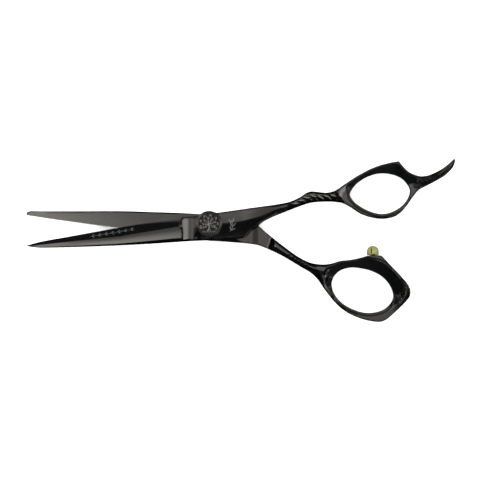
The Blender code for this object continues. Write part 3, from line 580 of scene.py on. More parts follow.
class Half:
    """One half: its outlines and the heights of its top and bottom faces over the mating plane.

    facing is 1 for the finger half, which lies above the mating plane, and -1 for the other.
    """

    def __init__(self, facing, stretches, edge, spine, hole, crest, heel, bores):
        self.facing = facing
        outline = np.vstack([curve_through(s)[:-1] for s in stretches])
        self.edge = Line(curve_through(edge))
        self.spine = Line(curve_through(spine))
        self.crest = Line(curve_through(crest))
        self.rim = Line(outline, closed=True)
        self.hole = Line(loop_through(hole), closed=True)
        self.loops = [outline, self.hole.samples] + bores
        self.ring_centre = self.hole.samples.mean(axis=0)
        self.tang_crest = Line(curve_through(TANG_CREST))
        self.heel_y, self.heel_foot, self.heel_top = heel
        self.ornament = Ornament()
        self.etching = Ornament()
        self.zones = []
        self.zones_level = 1.0 if facing > 0 else 0.0

    def body_share(self, points):
        """0 on the blade, 1 on the body, and a rounded step between them."""
        x, y = points.T
        foot = np.interp(y, self.heel_y, self.heel_foot)
        top = np.interp(y, self.heel_y, self.heel_top)
        return smooth(x, foot, top)

    def boss(self, points):
        """The thumb ring stays full thickness where the bumper sits."""
        if self.facing > 0:
            return np.zeros(len(points))
        away = np.hypot(points[:, 0] - BUMPER_X, points[:, 1] - BUMPER_SEAT_Y)
        return 1 - smooth(away, BUMPER_BOSS_REACH, BUMPER_BOSS_REACH + BUMPER_BOSS_FADE)

    def blade_faces(self, points):
        """Outer and inner blade heights, counted outwards from the mating plane."""
        x = points[:, 0]
        thickness = np.interp(x, BLADE_THICKNESS_X, BLADE_THICKNESS)
        to_edge = self.edge.distance(points)
        to_spine = self.spine.distance(points)
        facet_width = np.interp(x, EDGE_FACET_X, EDGE_FACET_WIDTH)
        edge_share = np.clip(to_edge / facet_width, 0, 1)
        bevel = np.interp(x, SPINE_BEVEL_X, SPINE_BEVEL_WIDTH)
        spine_share = np.clip(to_spine / bevel, 0, 1)
        crown = 4 * EDGE_FACET_CROWN * edge_share * (1 - edge_share) * smooth(x, *CROWN_X)
        from_edge = EDGE_THICKNESS + (thickness - EDGE_THICKNESS) * edge_share + crown
        from_spine = thickness * (1 - SPINE_BEVEL_DEPTH * (1 - spine_share))
        past_facet = to_edge - facet_width
        facet_share = past_facet / np.maximum(past_facet + to_spine - bevel, 0.3)
        hollow = FACET_HOLLOW * np.sin(math.pi * np.clip(facet_share, 0, 1)) * smooth(x, *FACET_HOLLOW_X)
        tilt = FACET_TILT * np.clip(past_facet, 0, None) * smooth(x, *FACET_TILT_X)
        flat = from_spine - hollow - tilt
        outer = HALVES_GAP / 2 + np.where(edge_share < 1, np.minimum(from_edge, flat), flat)
        tip_drop = TIP_BEVEL_DEPTH * np.clip((TIP_BEVEL_X - x) / TIP_BEVEL_WIDTH, 0, 1)
        spine_drop = INNER_SPINE_DROP * np.clip(1 - to_spine / INNER_SPINE_WIDTH, 0, 1) * (self.facing < 0)
        across = np.clip((to_edge - HONE_WIDTH) / np.maximum(to_edge + to_spine - HONE_WIDTH, 0.1), 0, 1)
        hollow = HOLLOW_DEPTH * np.sin(math.pi * across) * smooth(-x, *HOLLOW_FROM_PIVOT)
        return outer, HALVES_GAP / 2 + hollow + np.maximum(tip_drop, spine_drop)

    def ring_drops(self, points, side, rim, bore):
        """How far the ring's faces fall at the rim and at the hole. side is 1 for the top face."""
        offset = points - self.ring_centre
        direction = np.arctan2(offset[:, 1], offset[:, 0])
        lean = side * np.cos(direction - RING_LEAN_DIRECTION)
        width = np.clip(rim + bore, *RING_WIDTHS)
        wall_share = smooth(lean, *WALL_TURN)
        # The wall that leans: a wide inner slope, with a narrow facet between its crest and the rim
        reach_limit = mix(NARROW_WALL, BROAD_WALL, smooth(lean, *REACH_TURN))
        wall_reach = soft_min(width - RIM_FACET_WIDTH, reach_limit, 1.0)
        wall = (WALL_SLOPE + WALL_SLOPE_SWING * np.cos(direction)) * np.clip(wall_reach - bore, 0, None)
        facet = mix(OUTWARD_FACET_SLOPE, RIM_FACET_SLOPE, smooth(lean, *FACET_TURN))
        facet = facet * np.clip(bore - wall_reach, 0, None)
        # The other side: a bead round the hole, a groove, and a broad outer slope
        bead = np.clip(1 - bore / (BEAD_ROUND_SHARE * BEAD_WIDTH), 0, 1)
        bead = BEAD_DROP * (1 - np.sqrt(1 - bead ** 2))
        groove = GROOVE_DEPTH * np.clip(1 - np.abs(bore - BEAD_WIDTH) / GROOVE_HALF_WIDTH, 0, 1)
        slope = OUTER_SLOPE * np.clip(bore - BEAD_WIDTH, 0, None)
        edge = NARROW_EDGE[0] * np.clip(1 - rim / NARROW_EDGE[1], 0, 1)
        edge = mix(edge, WALL_EDGE[0] * (1 - smooth(rim, 0.0, WALL_EDGE[1])), wall_share)
        at_hole = mix(bead + groove + slope, wall + facet, wall_share)
        return edge, at_hole

    def handle_faces(self, points, rim, bore):
        """Top and bottom heights of the body, the shank, the ring and the tang."""
        x, y = points.T
        radius = np.where(x > 0, np.hypot(x, y), 0)
        crossed = smooth(radius, CROSS_START, CROSS_END)
        thin = smooth(radius, THIN_START, THIN_END)
        # The ring's section reaches out to its broad corner: the right side of the thumb ring, and
        # the top of the finger ring
        broad = smooth(y, *FINGER_CORNER_Y) if self.facing > 0 else smooth(x, *THUMB_CORNER_X)
        in_ring = 1 - smooth(bore - BROAD_CORNER * broad, RING_NEAR, RING_FAR)
        in_tang = smooth(x, TANG_ROOT_X, TANG_TIP_X) if self.facing > 0 else np.zeros(len(x))
        half_handle = mix(SHANK_THICKNESS / 2, RING_THICKNESS / 2, in_ring)
        half_handle = mix(half_handle, TANG_TIP_THICKNESS / 2, in_tang)

        crest = self.crest.signed(points)
        faceted = smooth(x, *(FINGER_FACETS_X if self.facing > 0 else THUMB_FACETS_X))
        faceted = faceted * (1 - in_ring) * (1 - in_tang) * (1 - self.zone_share(points) * self.zones_level)
        flank = mix(BODY_FLANK_SLOPE, SHANK_FLANK_SLOPE, crossed)
        rounding = mix(BODY_CREST_ROUND, SHANK_CREST_ROUND, crossed)
        above = (np.hypot(crest, rounding) + crest - rounding) / 2
        below = (np.hypot(crest, rounding) - crest - rounding) / 2
        fall = np.maximum(CREST_SLOPE * above + flank * below, 0) * faceted
        fall = DEEPEST_FALL * np.tanh(fall / DEEPEST_FALL)
        if self.facing > 0:
            tang_share = smooth(x, *TANG_CREST_X[:2]) * (1 - smooth(x, *TANG_CREST_X[2:])) * (1 - in_ring)
            away = np.hypot(self.tang_crest.distance(points), TANG_CREST_ROUND)
            fall += TANG_SLOPE * (away - TANG_CREST_ROUND) * tang_share

        body_outer = HALVES_GAP / 2 + BODY_THICKNESS
        outer = mix(body_outer, half_handle, thin) - fall - self.ricasso_drop(x)
        inner = mix(HALVES_GAP / 2 + self.inner_hollow(points, rim), -half_handle + fall, crossed)
        top, bottom = (outer, inner) if self.facing > 0 else (-inner, -outer)

        chamfer = mix(UPPER_CHAMFER_WIDTH, LOWER_CHAMFER_WIDTH, smooth(-crest, 0.0, 1.5))
        strip_share = np.clip((rim - chamfer) / BODY_STRIP_WIDTH, 0, 1)
        round_share = np.clip(np.minimum(rim, bore) / SHANK_EDGE_WIDTH, 0, 1)
        body_drop = BODY_CHAMFER_SLOPE * np.clip(chamfer - rim, 0, None)
        body_drop = (body_drop - BODY_STRIP_RISE * (1 - strip_share)) * (1 - crossed)
        boss = self.boss(points)
        shank_drop = half_handle * (1 - SHANK_EDGE_SHARE) * (1 - boss)
        shank_drop = shank_drop * (1 - np.sqrt(1 - (1 - round_share) ** 2))
        faces = []
        for side, face in ((1, top), (-1, bottom)):
            own_drop = mix(body_drop if side == self.facing else 0 * rim, shank_drop, crossed)
            rim_drop, hole_drop = self.ring_drops(points, side, rim, bore)
            rim_drop = mix(own_drop, rim_drop * (1 - boss), in_ring)
            drop = soft_max(rim_drop, hole_drop * in_ring, DROP_BLEND)
            faces.append(face - side * drop)
        return faces

    def ricasso_drop(self, x):
        """The body is slightly crowned between the blade step and the dial."""
        if self.facing < 0:
            return 0 * x
        drop = RICASSO_CROWN * (np.minimum(x, RICASSO_END_X[0]) - RICASSO_TOP_X) ** 2
        return drop * (1 - smooth(x, *RICASSO_END_X))

    def inner_hollow(self, points, rim):
        """How far the thumb half's inner face lies back from the mating plane."""
        x, y = points.T
        if self.facing > 0:
            return 0 * x
        trough = TROUGH_DEPTH * smooth(x, TROUGH_START, TROUGH_END)
        width = LOWER_BEVEL_WIDTH * smooth(x, *LOWER_BEVEL_X[:2]) * (1 - smooth(x, *LOWER_BEVEL_X[2:]))
        below = y < np.interp(x, self.crest.samples[:, 0], self.crest.samples[:, 1])
        bevel = LOWER_BEVEL_DEPTH * np.clip(1 - rim / (width + 1e-3), 0, 1) * below
        return trough + bevel

    def faces(self, points):
        """Top and bottom heights at each point, with the ornament, and the marks for painted shade in
        recesses, painted highlight on edges and crowns, and etching.
        """
        rim = self.rim.distance(points)
        bore = self.hole.distance(points)
        top, bottom = self.handle_faces(points, rim, bore)
        outer, inner = self.blade_faces(points)
        blade_top, blade_bottom = (outer, inner) if self.facing > 0 else (-inner, -outer)
        body_share = self.body_share(points)
        top = mix(blade_top, top, body_share)
        bottom = mix(blade_bottom, bottom, body_share)

        # Rims are eased over by a small round
        edge_gap = np.minimum(rim, bore)
        ease = 1 - np.sqrt(1 - (1 - np.clip(edge_gap / EDGE_ROUND, 0, 1)) ** 2)
        ease *= np.minimum(EDGE_ROUND, 0.35 * (top - bottom)) * (0.15 + 0.85 * body_share)
        top, bottom = top - ease, bottom + ease

        ornament = self.ornament.relief(points)
        etched = self.etching.relief(points)
        fade = smooth(edge_gap, *ORNAMENT_FADE)
        ground = -GROUND_DEPTH * self.zone_share(points) * fade
        top = top + (ground + ornament * fade) + ETCHING_RISE * etched
        # low marks the sunk ground and the cut ornament, where the material paints shade
        low = np.clip((ground + ornament) / -GROUND_DEPTH, 0, 1)
        nothing = np.zeros(len(points))
        # Painted highlight: the rims and the ornament's raised crowns are marked to be drawn brighter
        edge_highlight = EDGE_HIGHLIGHT * (1 - smooth(edge_gap, 0.0, HIGHLIGHT_REACH))
        crown_highlight = np.maximum(edge_highlight, smooth(ornament, *ORNAMENT_HIGHLIGHT) * fade)
        marks = {"recess": (low, nothing), "etch": (np.abs(etched), nothing),
                 "painted_highlight": (crown_highlight, edge_highlight)}
        return top, bottom, marks

    def zone(self, points, half_width, sunk=0.0):
        """Make room for fine detail along a line, with its ground sunk by a share of the depth."""
        line = Line(curve_through(points))
        self.zones.append((line, half_width, sunk))
        return line

    def zone_share(self, points):
        """How deep the sunk grounds that hold relief lie at each point, as a share."""
        share = np.zeros(len(points))
        for line, half_width, sunk in self.zones:
            if sunk:
                gap = line.distance(points)
                share = np.maximum(share, sunk * (1 - smooth(gap, half_width - ZONE_EDGE, half_width)))
        return share

    def wants_fine(self, points):
        found = np.zeros(len(points), bool)
        for line, half_width, _ in self.zones:
            found |= line.distance(points) < half_width + ZONE_MARGIN
        return found


def offset_row(loop, distance, half):
    """A row of points inside the material along a loop, left out where it would fold over."""
    step = left_of(np.roll(loop, -1, axis=0) - np.roll(loop, 1, axis=0)) * distance
    moved = np.vstack([loop + step, loop - step])
    moved = moved[in_material(half.loops, moved)]
    clear = np.minimum(half.rim.distance(moved), half.hole.distance(moved))
    return moved[clear > distance * 0.95]


def grid(low, high, spacing):
    rows = np.arange(low[1], high[1], spacing * 0.866)
    points = []
    for row, y in enumerate(rows):
        x = np.arange(low[0] + (spacing / 2 if row % 2 else 0), high[0], spacing)
        points.append(np.column_stack([x, np.full(len(x), y)]))
    return np.vstack(points)


def loose_points(half, lines):
    """Grid points that are dense over the ornament, medium on the handle and wide on the blade."""
    outline = half.loops[0]
    low, high = outline.min(axis=0), outline.max(axis=0)
    chosen = []
    for spacing, in_zone, on_blade in ((RELIEF_SPACING, True, None), (HANDLE_SPACING, False, False),
                                       (BLADE_SPACING, False, True)):
        points = grid(low, high, spacing)
        if on_blade is not None:
            points = points[(points[:, 0] < HEEL_X - 1.0) == on_blade]
        fine = half.wants_fine(points)
        points = points[fine if in_zone else ~fine]
        points = points[in_material(half.loops, points)]
        clear = nearest_gap(half.loops, points)
        points = points[clear > RIM_ROWS[1] + 0.45 * spacing]
        for loop, rows in zip(half.loops, (RIM_ROWS, HOLE_ROWS)):
            gap = Line(loop, closed=True).distance(points)
            row_gap = np.min([np.abs(gap - row) for row in rows], axis=0)
            points = points[row_gap > ROW_GAP]
        if lines:
            points = points[nearest_gap(lines, points, closed=False) > 0.45 * spacing]
        chosen.append(points)
    for loop, rows in zip(half.loops, (RIM_ROWS, HOLE_ROWS)):
        for distance in rows:
            row = offset_row(loop, distance, half)
            chosen.append(row[nearest_gap(lines, row, closed=False) > ROW_TO_LINE_GAP])
    return np.vstack(chosen)


def bevel_ridge(half, line, stations, widths):
    """Where a blade bevel meets the flat, at the bevel's width from the line."""
    samples = line.samples[(line.samples[:, 0] > stations[0]) & (line.samples[:, 0] < HEEL_X - 0.3)]
    normal = left_of(np.gradient(samples, axis=0))
    if in_material(half.loops, samples + normal * 0.1).mean() < 0.5:
        normal = -normal
    ridge = samples
    for _ in range(3):
        ridge = samples + normal * np.interp(ridge[:, 0], stations, widths)[:, None]
    return ridge


def trimmed(half, line):
    """The part of a feature line that lies clear inside the material."""
    return line[in_material(half.loops, line) & (nearest_gap(half.loops, line) > ROW_GAP)]


def half_mesh(half, name, rings=()):
    """The fine mesh of one half. rings are circles, given as (radius, top height inside it)."""
    heel_y = np.arange(half.heel_y[0], half.heel_y[-1], 0.15)
    heel_foot = np.column_stack([np.interp(heel_y, half.heel_y, half.heel_foot), heel_y])
    heel_top = np.column_stack([np.interp(heel_y, half.heel_y, half.heel_top), heel_y])
    lines = [
        bevel_ridge(half, half.edge, EDGE_FACET_X, EDGE_FACET_WIDTH),
        bevel_ridge(half, half.spine, SPINE_BEVEL_X, SPINE_BEVEL_WIDTH),
        heel_foot,
        heel_top,
        half.crest.samples[half.crest.samples[:, 0] > 6.5],
    ]
    lines = [trimmed(half, line) for line in lines]
    for radius, _ in rings:
        for reach in (radius, radius - 0.02):
            loop = circle(reach, 120)
            lines.append(np.vstack([loop, loop[:1]]))
    plan, triangles, on_line = triangulate(half.loops, lines, loose_points(half, lines))
    top, bottom, marks = half.faces(plan)
    away = np.hypot(*plan.T)
    for radius, floor in rings:
        top = np.where(away < radius - 0.01, floor, top)
    mesh = finished(raised_mesh(name, plan, triangles, top, bottom, marks), 34)
    used = np.unique(triangles)
    crease(mesh, on_line[used], (0, 1))
    return mesh


def finger_half():
    bush = node_size("pivot_bush")
    floor = node_size("lower_race").bottom - 0.1
    half = Half(1, [FINGER_EDGE, FINGER_UPPER, TANG_UPPER, FINGER_LOWER, FINGER_SPINE],
                FINGER_EDGE, FINGER_SPINE, FINGER_HOLE, FINGER_CREST,
                (FINGER_HEEL_Y, FINGER_HEEL_FOOT, FINGER_HEEL_TOP),
                [circle(bush.radius + FIT, 96)])
    ornament_finger_half(half)
    counterbore = node_size("lower_race").radius + 0.2
    return half_mesh(half, "finger_half_forging", [(counterbore, floor)])


def thumb_half():
    half = Half(-1, [THUMB_EDGE, THUMB_LOWER, THUMB_UPPER, THUMB_SPINE],
                THUMB_EDGE, THUMB_SPINE, THUMB_HOLE, THUMB_CREST,
                (THUMB_HEEL_Y, THUMB_HEEL_FOOT, THUMB_HEEL_TOP),
                [circle(STUD_KEY_RADIUS + FIT, 96, flat=STUD_KEY_FLAT + FIT)])
    ornament_thumb_half(half)
    return half_mesh(half, "thumb_half_forging")


def leaf_band(half, line, start, end, pitch, size, height):
    """Slanted leaves across a line, each with a small leaf at its foot and a bud at its head."""
    place = start
    while place < end:
        forward = line.along(place + 0.5) - line.along(place - 0.5)
        heading = math.atan2(forward[1], forward[0])
        half.ornament.leaf(line.along(place, 1.15 * size), heading - 0.62, 3.0 * size, 0.35 * size,
                           0.42 * size, height)
        half.ornament.leaf(line.along(place + 0.5 * pitch, 1.3 * size), heading - 0.2, 1.2 * size,
                           -0.3 * size, 0.24 * size, height)
        half.ornament.leaf(line.along(place - 0.1 * pitch, -0.5 * size), heading - 0.9, 1.1 * size,
                           0.3 * size, 0.24 * size, height)
        place += pitch


def sprig(half, line, pairs, leaf, stem):
    """A small generic sprig, etched along a line: a stem with paired leaves."""
    length = np.hypot(*np.diff(line.samples, axis=0).T).sum()
    half.etching.strand([line.along(u) for u in np.linspace(0, length, 12)], stem, -1.0)
    for index in range(pairs):
        place = line.along((index + 0.4) * length / pairs)
        ahead = line.along((index + 0.4) * length / pairs + 0.3)
        heading = math.atan2(*(ahead - place)[::-1])
        for side in (1, -1):
            half.etching.leaf(place, heading + side * 0.9, leaf, -side * leaf * 0.3, stem * 1.7, -1.0)


def ornament_finger_half(half):
    shank = half.zone([(32.4, 6.9), (35.6, 8.7), (39.5, 10.3), (43.2, 10.3), (48.6, 10.9)], 2.1, 1.0)
    half.ornament.strand([(30.6, 7.7), (34.2, 8.9), (37.2, 10.8), (40.5, 11.6), (45.2, 11.2)],
                         0.36, 0.26, 0.5)
    leaf_band(half, shank, 0.3, 15.6, 2.5, 0.98, 0.31)

    root = half.zone([(80.6, 15.2), (83.0, 15.8), (86.0, 17.0), (88.4, 18.3)], 1.35, 0.5)
    leaf_band(half, root, 0.2, 7.0, 1.9, 0.7, 0.2)

    blade_line = half.zone([(-46.6, -4.9), (-38.0, -3.5), (-29.0, -1.9)], 1.3)
    sprig(half, blade_line, 7, 1.0, 0.085)

    body_line = half.zone([(8.2, -3.0), (9.1, -0.9), (8.7, 1.5)], 2.4)
    sprig(half, body_line, 3, 1.8, 0.12)

    # Slanted cuts across the tang's lower half
    cuts = half.zone([(88.9, 18.2), (91.5, 20.1), (93.6, 22.5)], 1.6)
    for index in range(7):
        centre = cuts.along(0.3 + index * 0.85)
        reach = np.array([0.5, 0.75])
        half.ornament.strand([centre - reach, centre, centre + reach], 0.19, -0.14)

    # Scallops along the finger ring's lower outer edge
    rim = half.rim.samples
    lower = rim[(rim[:, 0] > 56) & (rim[:, 0] < 75) & (rim[:, 1] < 7.2)]
    half.zones.append((Line(lower), 1.1, 0.0))
    for index in range(3, len(lower) - 3, 5):
        half.ornament.bead(lower[index], 0.5, -0.22)


def bead_rows(half, line, offsets, start, end, spacing):
    """Staggered rows of beads at given offsets from a line."""
    for row, offset in enumerate(offsets):
        place = start + spacing / 2 * (row % 2)
        while place < end:
            half.ornament.bead(line.along(place, offset), 0.3, 0.27)
            place += spacing


def ornament_thumb_half(half):
    # A twist of sunk lens shapes along the shank's bright facet
    shank = half.zone([(31.0, -11.9), (35.6, -15.0), (38.6, -16.5)], 1.6)
    for index in range(6):
        centre = shank.along(0.5 + 1.5 * index)
        ahead = shank.along(1.1 + 1.5 * index) - centre
        reach = np.array([ahead[0] - 0.45 * ahead[1], ahead[1] + 0.45 * ahead[0]]) * 1.3
        half.ornament.strand([centre - reach, centre, centre + reach], 0.27, -0.24, 0.3)
        half.ornament.strand([centre - reach * 0.7 + ahead, centre + ahead, centre + reach * 0.7 + ahead],
                             0.25, 0.3, 0.4)

    # One broad leaf, outlined by grooves
    leaf = half.zone([(38.2, -16.1), (39.8, -16.8), (41.6, -17.4)], 1.3)
    half.ornament.strand(leaf.samples, 0.48, 0.1, 0.4)
    for side in (1, -1):
        half.ornament.strand([leaf.along(u, side * 0.72) for u in (0.0, 1.2, 2.4, 3.6)], 0.2, -0.2)

    # The field before the ring holds a spray of petals between sunk hollows
    field = half.zone([(42.6, -18.0), (44.2, -20.0), (44.8, -23.4)], 2.2)
    for points, radius, height in (
        ([(44.5, -23.2), (43.9, -20.6), (43.4, -18.2)], 0.52, 0.27),
        ([(44.6, -23.2), (45.0, -20.9), (46.3, -18.9)], 0.38, 0.27),
        ([(42.0, -18.4), (42.6, -20.2), (43.6, -22.2)], 0.28, -0.26),
        ([(45.7, -17.3), (45.0, -18.5), (44.8, -19.8)], 0.34, -0.26),
        ([(46.6, -20.2), (46.0, -21.2), (45.3, -22.8)], 0.3, -0.26),
    ):
        half.ornament.strand(points, radius, height)

    # Beading beside the bumper and on the ring's outer corner
    upper = half.zone([(59.4, -14.0), (63.0, -14.0), (67.0, -14.9), (70.6, -17.6)], 1.15, 0.45)
    bead_rows(half, upper, (-0.6, 0.2), 0.3, 12.5, 1.05)
    corner = half.zone([(74.9, -22.4), (75.9, -25.0), (75.4, -27.4), (73.6, -30.2)], 1.2, 0.6)
    bead_rows(half, corner, (-0.5, 0.4), 0.3, 8.8, 1.5)


# ---------------------------------------------------------------- turned pieces

def node_size(node):
    """A turned CAD piece's radius and heights, in millimetres over the mating plane."""
    low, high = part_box(node)
    return SimpleNamespace(radius=(high.x - low.x) / 2 / MM, x=(high.x + low.x) / 2 / MM,
                           y=(high.y + low.y) / 2 / MM, bottom=(low.z - PIVOT.z) / MM,
                           top=(high.z - PIVOT.z) / MM)


def box_profile(inner, outer, bottom, top):
    return [(inner, bottom), (outer, bottom), (outer, top), (inner, top)]


def on_circle(radius, height, angle, flat=math.inf):
    """A corner of a round section; with flat, its two sides are cut at that half width."""
    return (radius * math.cos(angle), max(-flat, min(flat, radius * math.sin(angle))), height)


def turned_mesh(name, profile, segments=96, shape=on_circle, centre=(0, 0, 0), upright=True):
    """Turn a closed profile of (radius, height) corners about Z, or about Y if not upright."""
    bm = bmesh.new()
    rings = []
    for radius, height in profile:
        count = 1 if radius == 0 else segments
        ring = []
        for step in range(count):
            angle = 2 * math.pi * step / segments
            place = (shape if radius > 0 else on_circle)(radius, height, angle)
            if not upright:
                place = (place[0], place[2], -place[1])
            ring.append(bm.verts.new(to_row(np.array(place) + centre)))
        rings.append(ring * segments if radius == 0 else ring)
    for ring, following in zip(rings, rings[1:] + rings[:1]):
        for step in range(segments):
            ahead = (step + 1) % segments
            corners = list(dict.fromkeys([ring[step], ring[ahead], following[ahead], following[step]]))
            if len(corners) > 2:
                bm.faces.new(corners)
    bmesh.ops.recalc_face_normals(bm, faces=bm.faces)
    mesh = bpy.data.meshes.new(name)
    bm.to_mesh(mesh)
    bm.free()
    return finished(mesh, 40)


def eased(corners, radius=0.08, steps=3):
    """A closed profile with its outer corners rounded. Corners on the axis stay as they are."""
    corners = [np.array(corner, float) for corner in corners]
    rounded = []
    for before, corner, after in zip(corners[-1:] + corners[:-1], corners, corners[1:] + corners[:1]):
        if corner[0] == 0:
            rounded.append(tuple(corner))
            continue
        reach = min(radius, np.linalg.norm(before - corner) / 2.2, np.linalg.norm(after - corner) / 2.2)
        start = corner + (before - corner) / np.linalg.norm(before - corner) * reach
        end = corner + (after - corner) / np.linalg.norm(after - corner) * reach
        for step in range(steps + 1):
            t = step / steps
            rounded.append(tuple((1 - t) ** 2 * start + 2 * t * (1 - t) * corner + t * t * end))
    return rounded


def pivot_stud():
    """Its head has a turned groove, and its thread one groove for each turn."""
    size = node_size("pivot_stud")
    shoulder = node_size("upper_race").top + 0.1
    back = -(HALVES_GAP / 2 + BODY_THICKNESS) - 0.1
    foot = size.bottom
    profile = [(0, foot), (1.1, foot), (1.25, foot + 0.12), (1.45, foot + 0.12), (1.6, foot),
               (size.radius - 0.35, foot), (size.radius - 0.1, foot + 0.12),
               (size.radius, foot + 0.35), (size.radius, back), (STUD_KEY_RADIUS, back),
               (STUD_KEY_RADIUS, STUD_KEY_TOP), (STUD_RADIUS, STUD_KEY_TOP),
               (STUD_RADIUS, shoulder), (THREAD_RADIUS, shoulder)]
    height = shoulder + 0.1
    while height + THREAD_PITCH < size.top - 0.1:
        profile += [(THREAD_RADIUS, height), (THREAD_RADIUS - THREAD_DEPTH, height + THREAD_PITCH * 0.4),
                    (THREAD_RADIUS, height + THREAD_PITCH * 0.8)]
        height += THREAD_PITCH
    profile += [(THREAD_RADIUS, size.top - 0.12), (THREAD_RADIUS - 0.12, size.top), (0, size.top)]

    def shape(radius, height, angle):
        if radius <= THREAD_RADIUS and height >= shoulder:
            return on_circle(radius, height, angle, THREAD_FLAT)
        keyed = radius <= STUD_KEY_RADIUS and back <= height <= STUD_KEY_TOP
        return on_circle(radius, height, angle, STUD_KEY_FLAT if keyed else radius)

    return turned_mesh("pivot_stud_turned", profile, shape=shape)


def bearing_race(node, towards):
    """A bearing washer with a ball groove. towards is 1 for the lower race, whose groove is on top."""
    size, ball = node_size(node), node_size("ball_1")
    centre = (ball.bottom + ball.top) / 2
    face, back = (size.top, size.bottom) if towards > 0 else (size.bottom, size.top)
    pitch_radius = ball.x
    groove = ball.radius + FIT
    half_angle = math.acos(min(abs(centre - face) / groove, 1))
    inner = 2 * pitch_radius - size.radius
    profile = [(inner, back), (size.radius, back), (size.radius, face)]
    for step in range(13):
        angle = half_angle * (1 - step / 6)
        profile.append((pitch_radius + groove * math.sin(angle),
                        centre - towards * groove * math.cos(angle)))
    profile.append((inner, face))
    return turned_mesh(node + "_ground", profile)


def bearing_ball(index):
    size = node_size(f"ball_{index}")
    middle = (size.bottom + size.top) / 2
    arc = [math.pi * step / 16 for step in range(1, 16)]
    profile = [(size.radius * math.sin(angle), middle - size.radius * math.cos(angle)) for angle in arc]
    profile = [(0, middle - size.radius), *profile, (0, middle + size.radius)]
    return turned_mesh(f"bearing_ball_{index}", profile, 32, centre=(size.x, size.y, 0))


def bearing_cage():
    """A flat ring with a pocket round each ball."""
    size, ball = node_size("bearing_cage"), node_size("ball_1")
    pitch_radius = ball.x
    inner = 2 * pitch_radius - size.radius
    loops = [circle(size.radius, 128), circle(inner, 96)]
    for index in BALLS:
        place = node_size(f"ball_{index}")
        loops.append(circle(ball.radius + FIT, 40, centre=(place.x, place.y)))
    points = grid((-size.radius, -size.radius), (size.radius, size.radius), 0.18)
    points = points[in_material(loops, points) & (nearest_gap(loops, points) > ROW_TO_LINE_GAP)]
    plan, triangles, _ = triangulate(loops, [], points)
    ease = 0.05 * (1 - np.clip(nearest_gap(loops, plan) / 0.08, 0, 1))
    plate = raised_mesh("bearing_cage_plate", plan, triangles, size.top - ease, size.bottom + ease)
    return finished(plate, 50)


def wave_spring():
    size = node_size("wave_spring")
    middle = (size.top + size.bottom) / 2
    half_thickness = (size.top - size.bottom) / 2 - SPRING_WAVE

    def shape(radius, height, angle):
        return on_circle(radius, height + SPRING_WAVE * math.cos(SPRING_WAVES * angle), angle)

    strip = box_profile(SPRING_INNER, size.radius, middle - half_thickness, middle + half_thickness)
    return turned_mesh("wave_spring_strip", eased(strip, 0.04), shape=shape)


def click_plate():
    """A detent plate with a scalloped rim and a flatted hole."""
    size = node_size("click_plate")
    hole = THREAD_RADIUS + FIT
    rim = size.radius - SCALLOP_DEPTH

    def shape(radius, height, angle):
        if radius < hole + 0.2:
            return on_circle(radius, height, angle, THREAD_FLAT + FIT)
        scallop = SCALLOP_DEPTH * math.cos(SCALLOPS * angle) * (radius / rim) ** 4
        return on_circle(radius + scallop, height, angle)

    profile = eased(box_profile(hole, rim, size.bottom, size.top), 0.05)
    return turned_mesh("click_plate_blank", profile, 144, shape)


def tension_dial():
    """A cap whose rim stands round the medallion, with a finely serrated skirt."""
    size, medallion = node_size("tension_dial"), node_size("dial_medallion")
    outer, top, bottom = size.radius, size.top, size.bottom
    recess = medallion.radius + FIT
    floor = medallion.bottom - 0.05
    ceiling, hub = node_size("click_plate").top + 0.15, THREAD_RADIUS + FIT
    # Its top falls outwards as a narrow cone, which catches light at the sides
    cone_foot = top - CONE_SLOPE * (outer - recess - 0.15)
    profile = [(SKIRT_INNER, bottom), (outer - 0.12, bottom), (outer, bottom + 0.12),
               (outer, cone_foot - 0.2), (outer - 0.05, cone_foot - 0.05), (outer - 0.12, cone_foot),
               (recess + 0.1, top), (recess, top - 0.08), (recess, floor), (hub, floor),
               (hub, ceiling), (SKIRT_INNER, ceiling)]

    def shape(radius, height, angle):
        if radius > outer - 0.01 and height < cone_foot:
            radius -= TOOTH_DEPTH * (0.5 + 0.5 * math.cos(SKIRT_TEETH * angle))
        return on_circle(radius, height, angle)

    return turned_mesh("tension_dial_cap", profile, 360, shape)


def dial_medallion():
    """A plate with a small tree in relief: trunk, roots and curling branches inside a cord rim."""
    size = node_size("dial_medallion")
    radius = size.radius
    tree = Ornament()
    ornament_tree(tree, radius)
    loop = circle(radius, 220)
    points = grid((-radius, -radius), (radius, radius), 0.085)
    points = points[np.hypot(*points.T) < radius - 0.07]
    plan, triangles, _ = triangulate([loop], [], points)
    away = np.hypot(*plan.T)
    raised = tree.relief(plan)
    rim = 0.12 * smooth(away, radius - 0.3, radius - 0.2)
    field = 0.02 * (1 - (away / radius) ** 2)
    top = size.top - MEDALLION_SINK + field + np.maximum(raised, rim)
    top = np.minimum(top - 0.08 * smooth(away, radius - 0.1, radius), size.top + 0.06)
    bottom = np.full(len(plan), size.bottom)
    # The field round the relief is marked for painted shade, the raised tree and rim for a painted
    # highlight
    low = 1 - smooth(np.maximum(raised, rim), 0.0, 0.1)
    nothing = np.zeros(len(plan))
    marks = {"recess": (low, nothing), "etch": (nothing, nothing), "painted_highlight": (1 - low, nothing)}
    return finished(raised_mesh("dial_medallion_plate", plan, triangles, top, bottom, marks), 60)


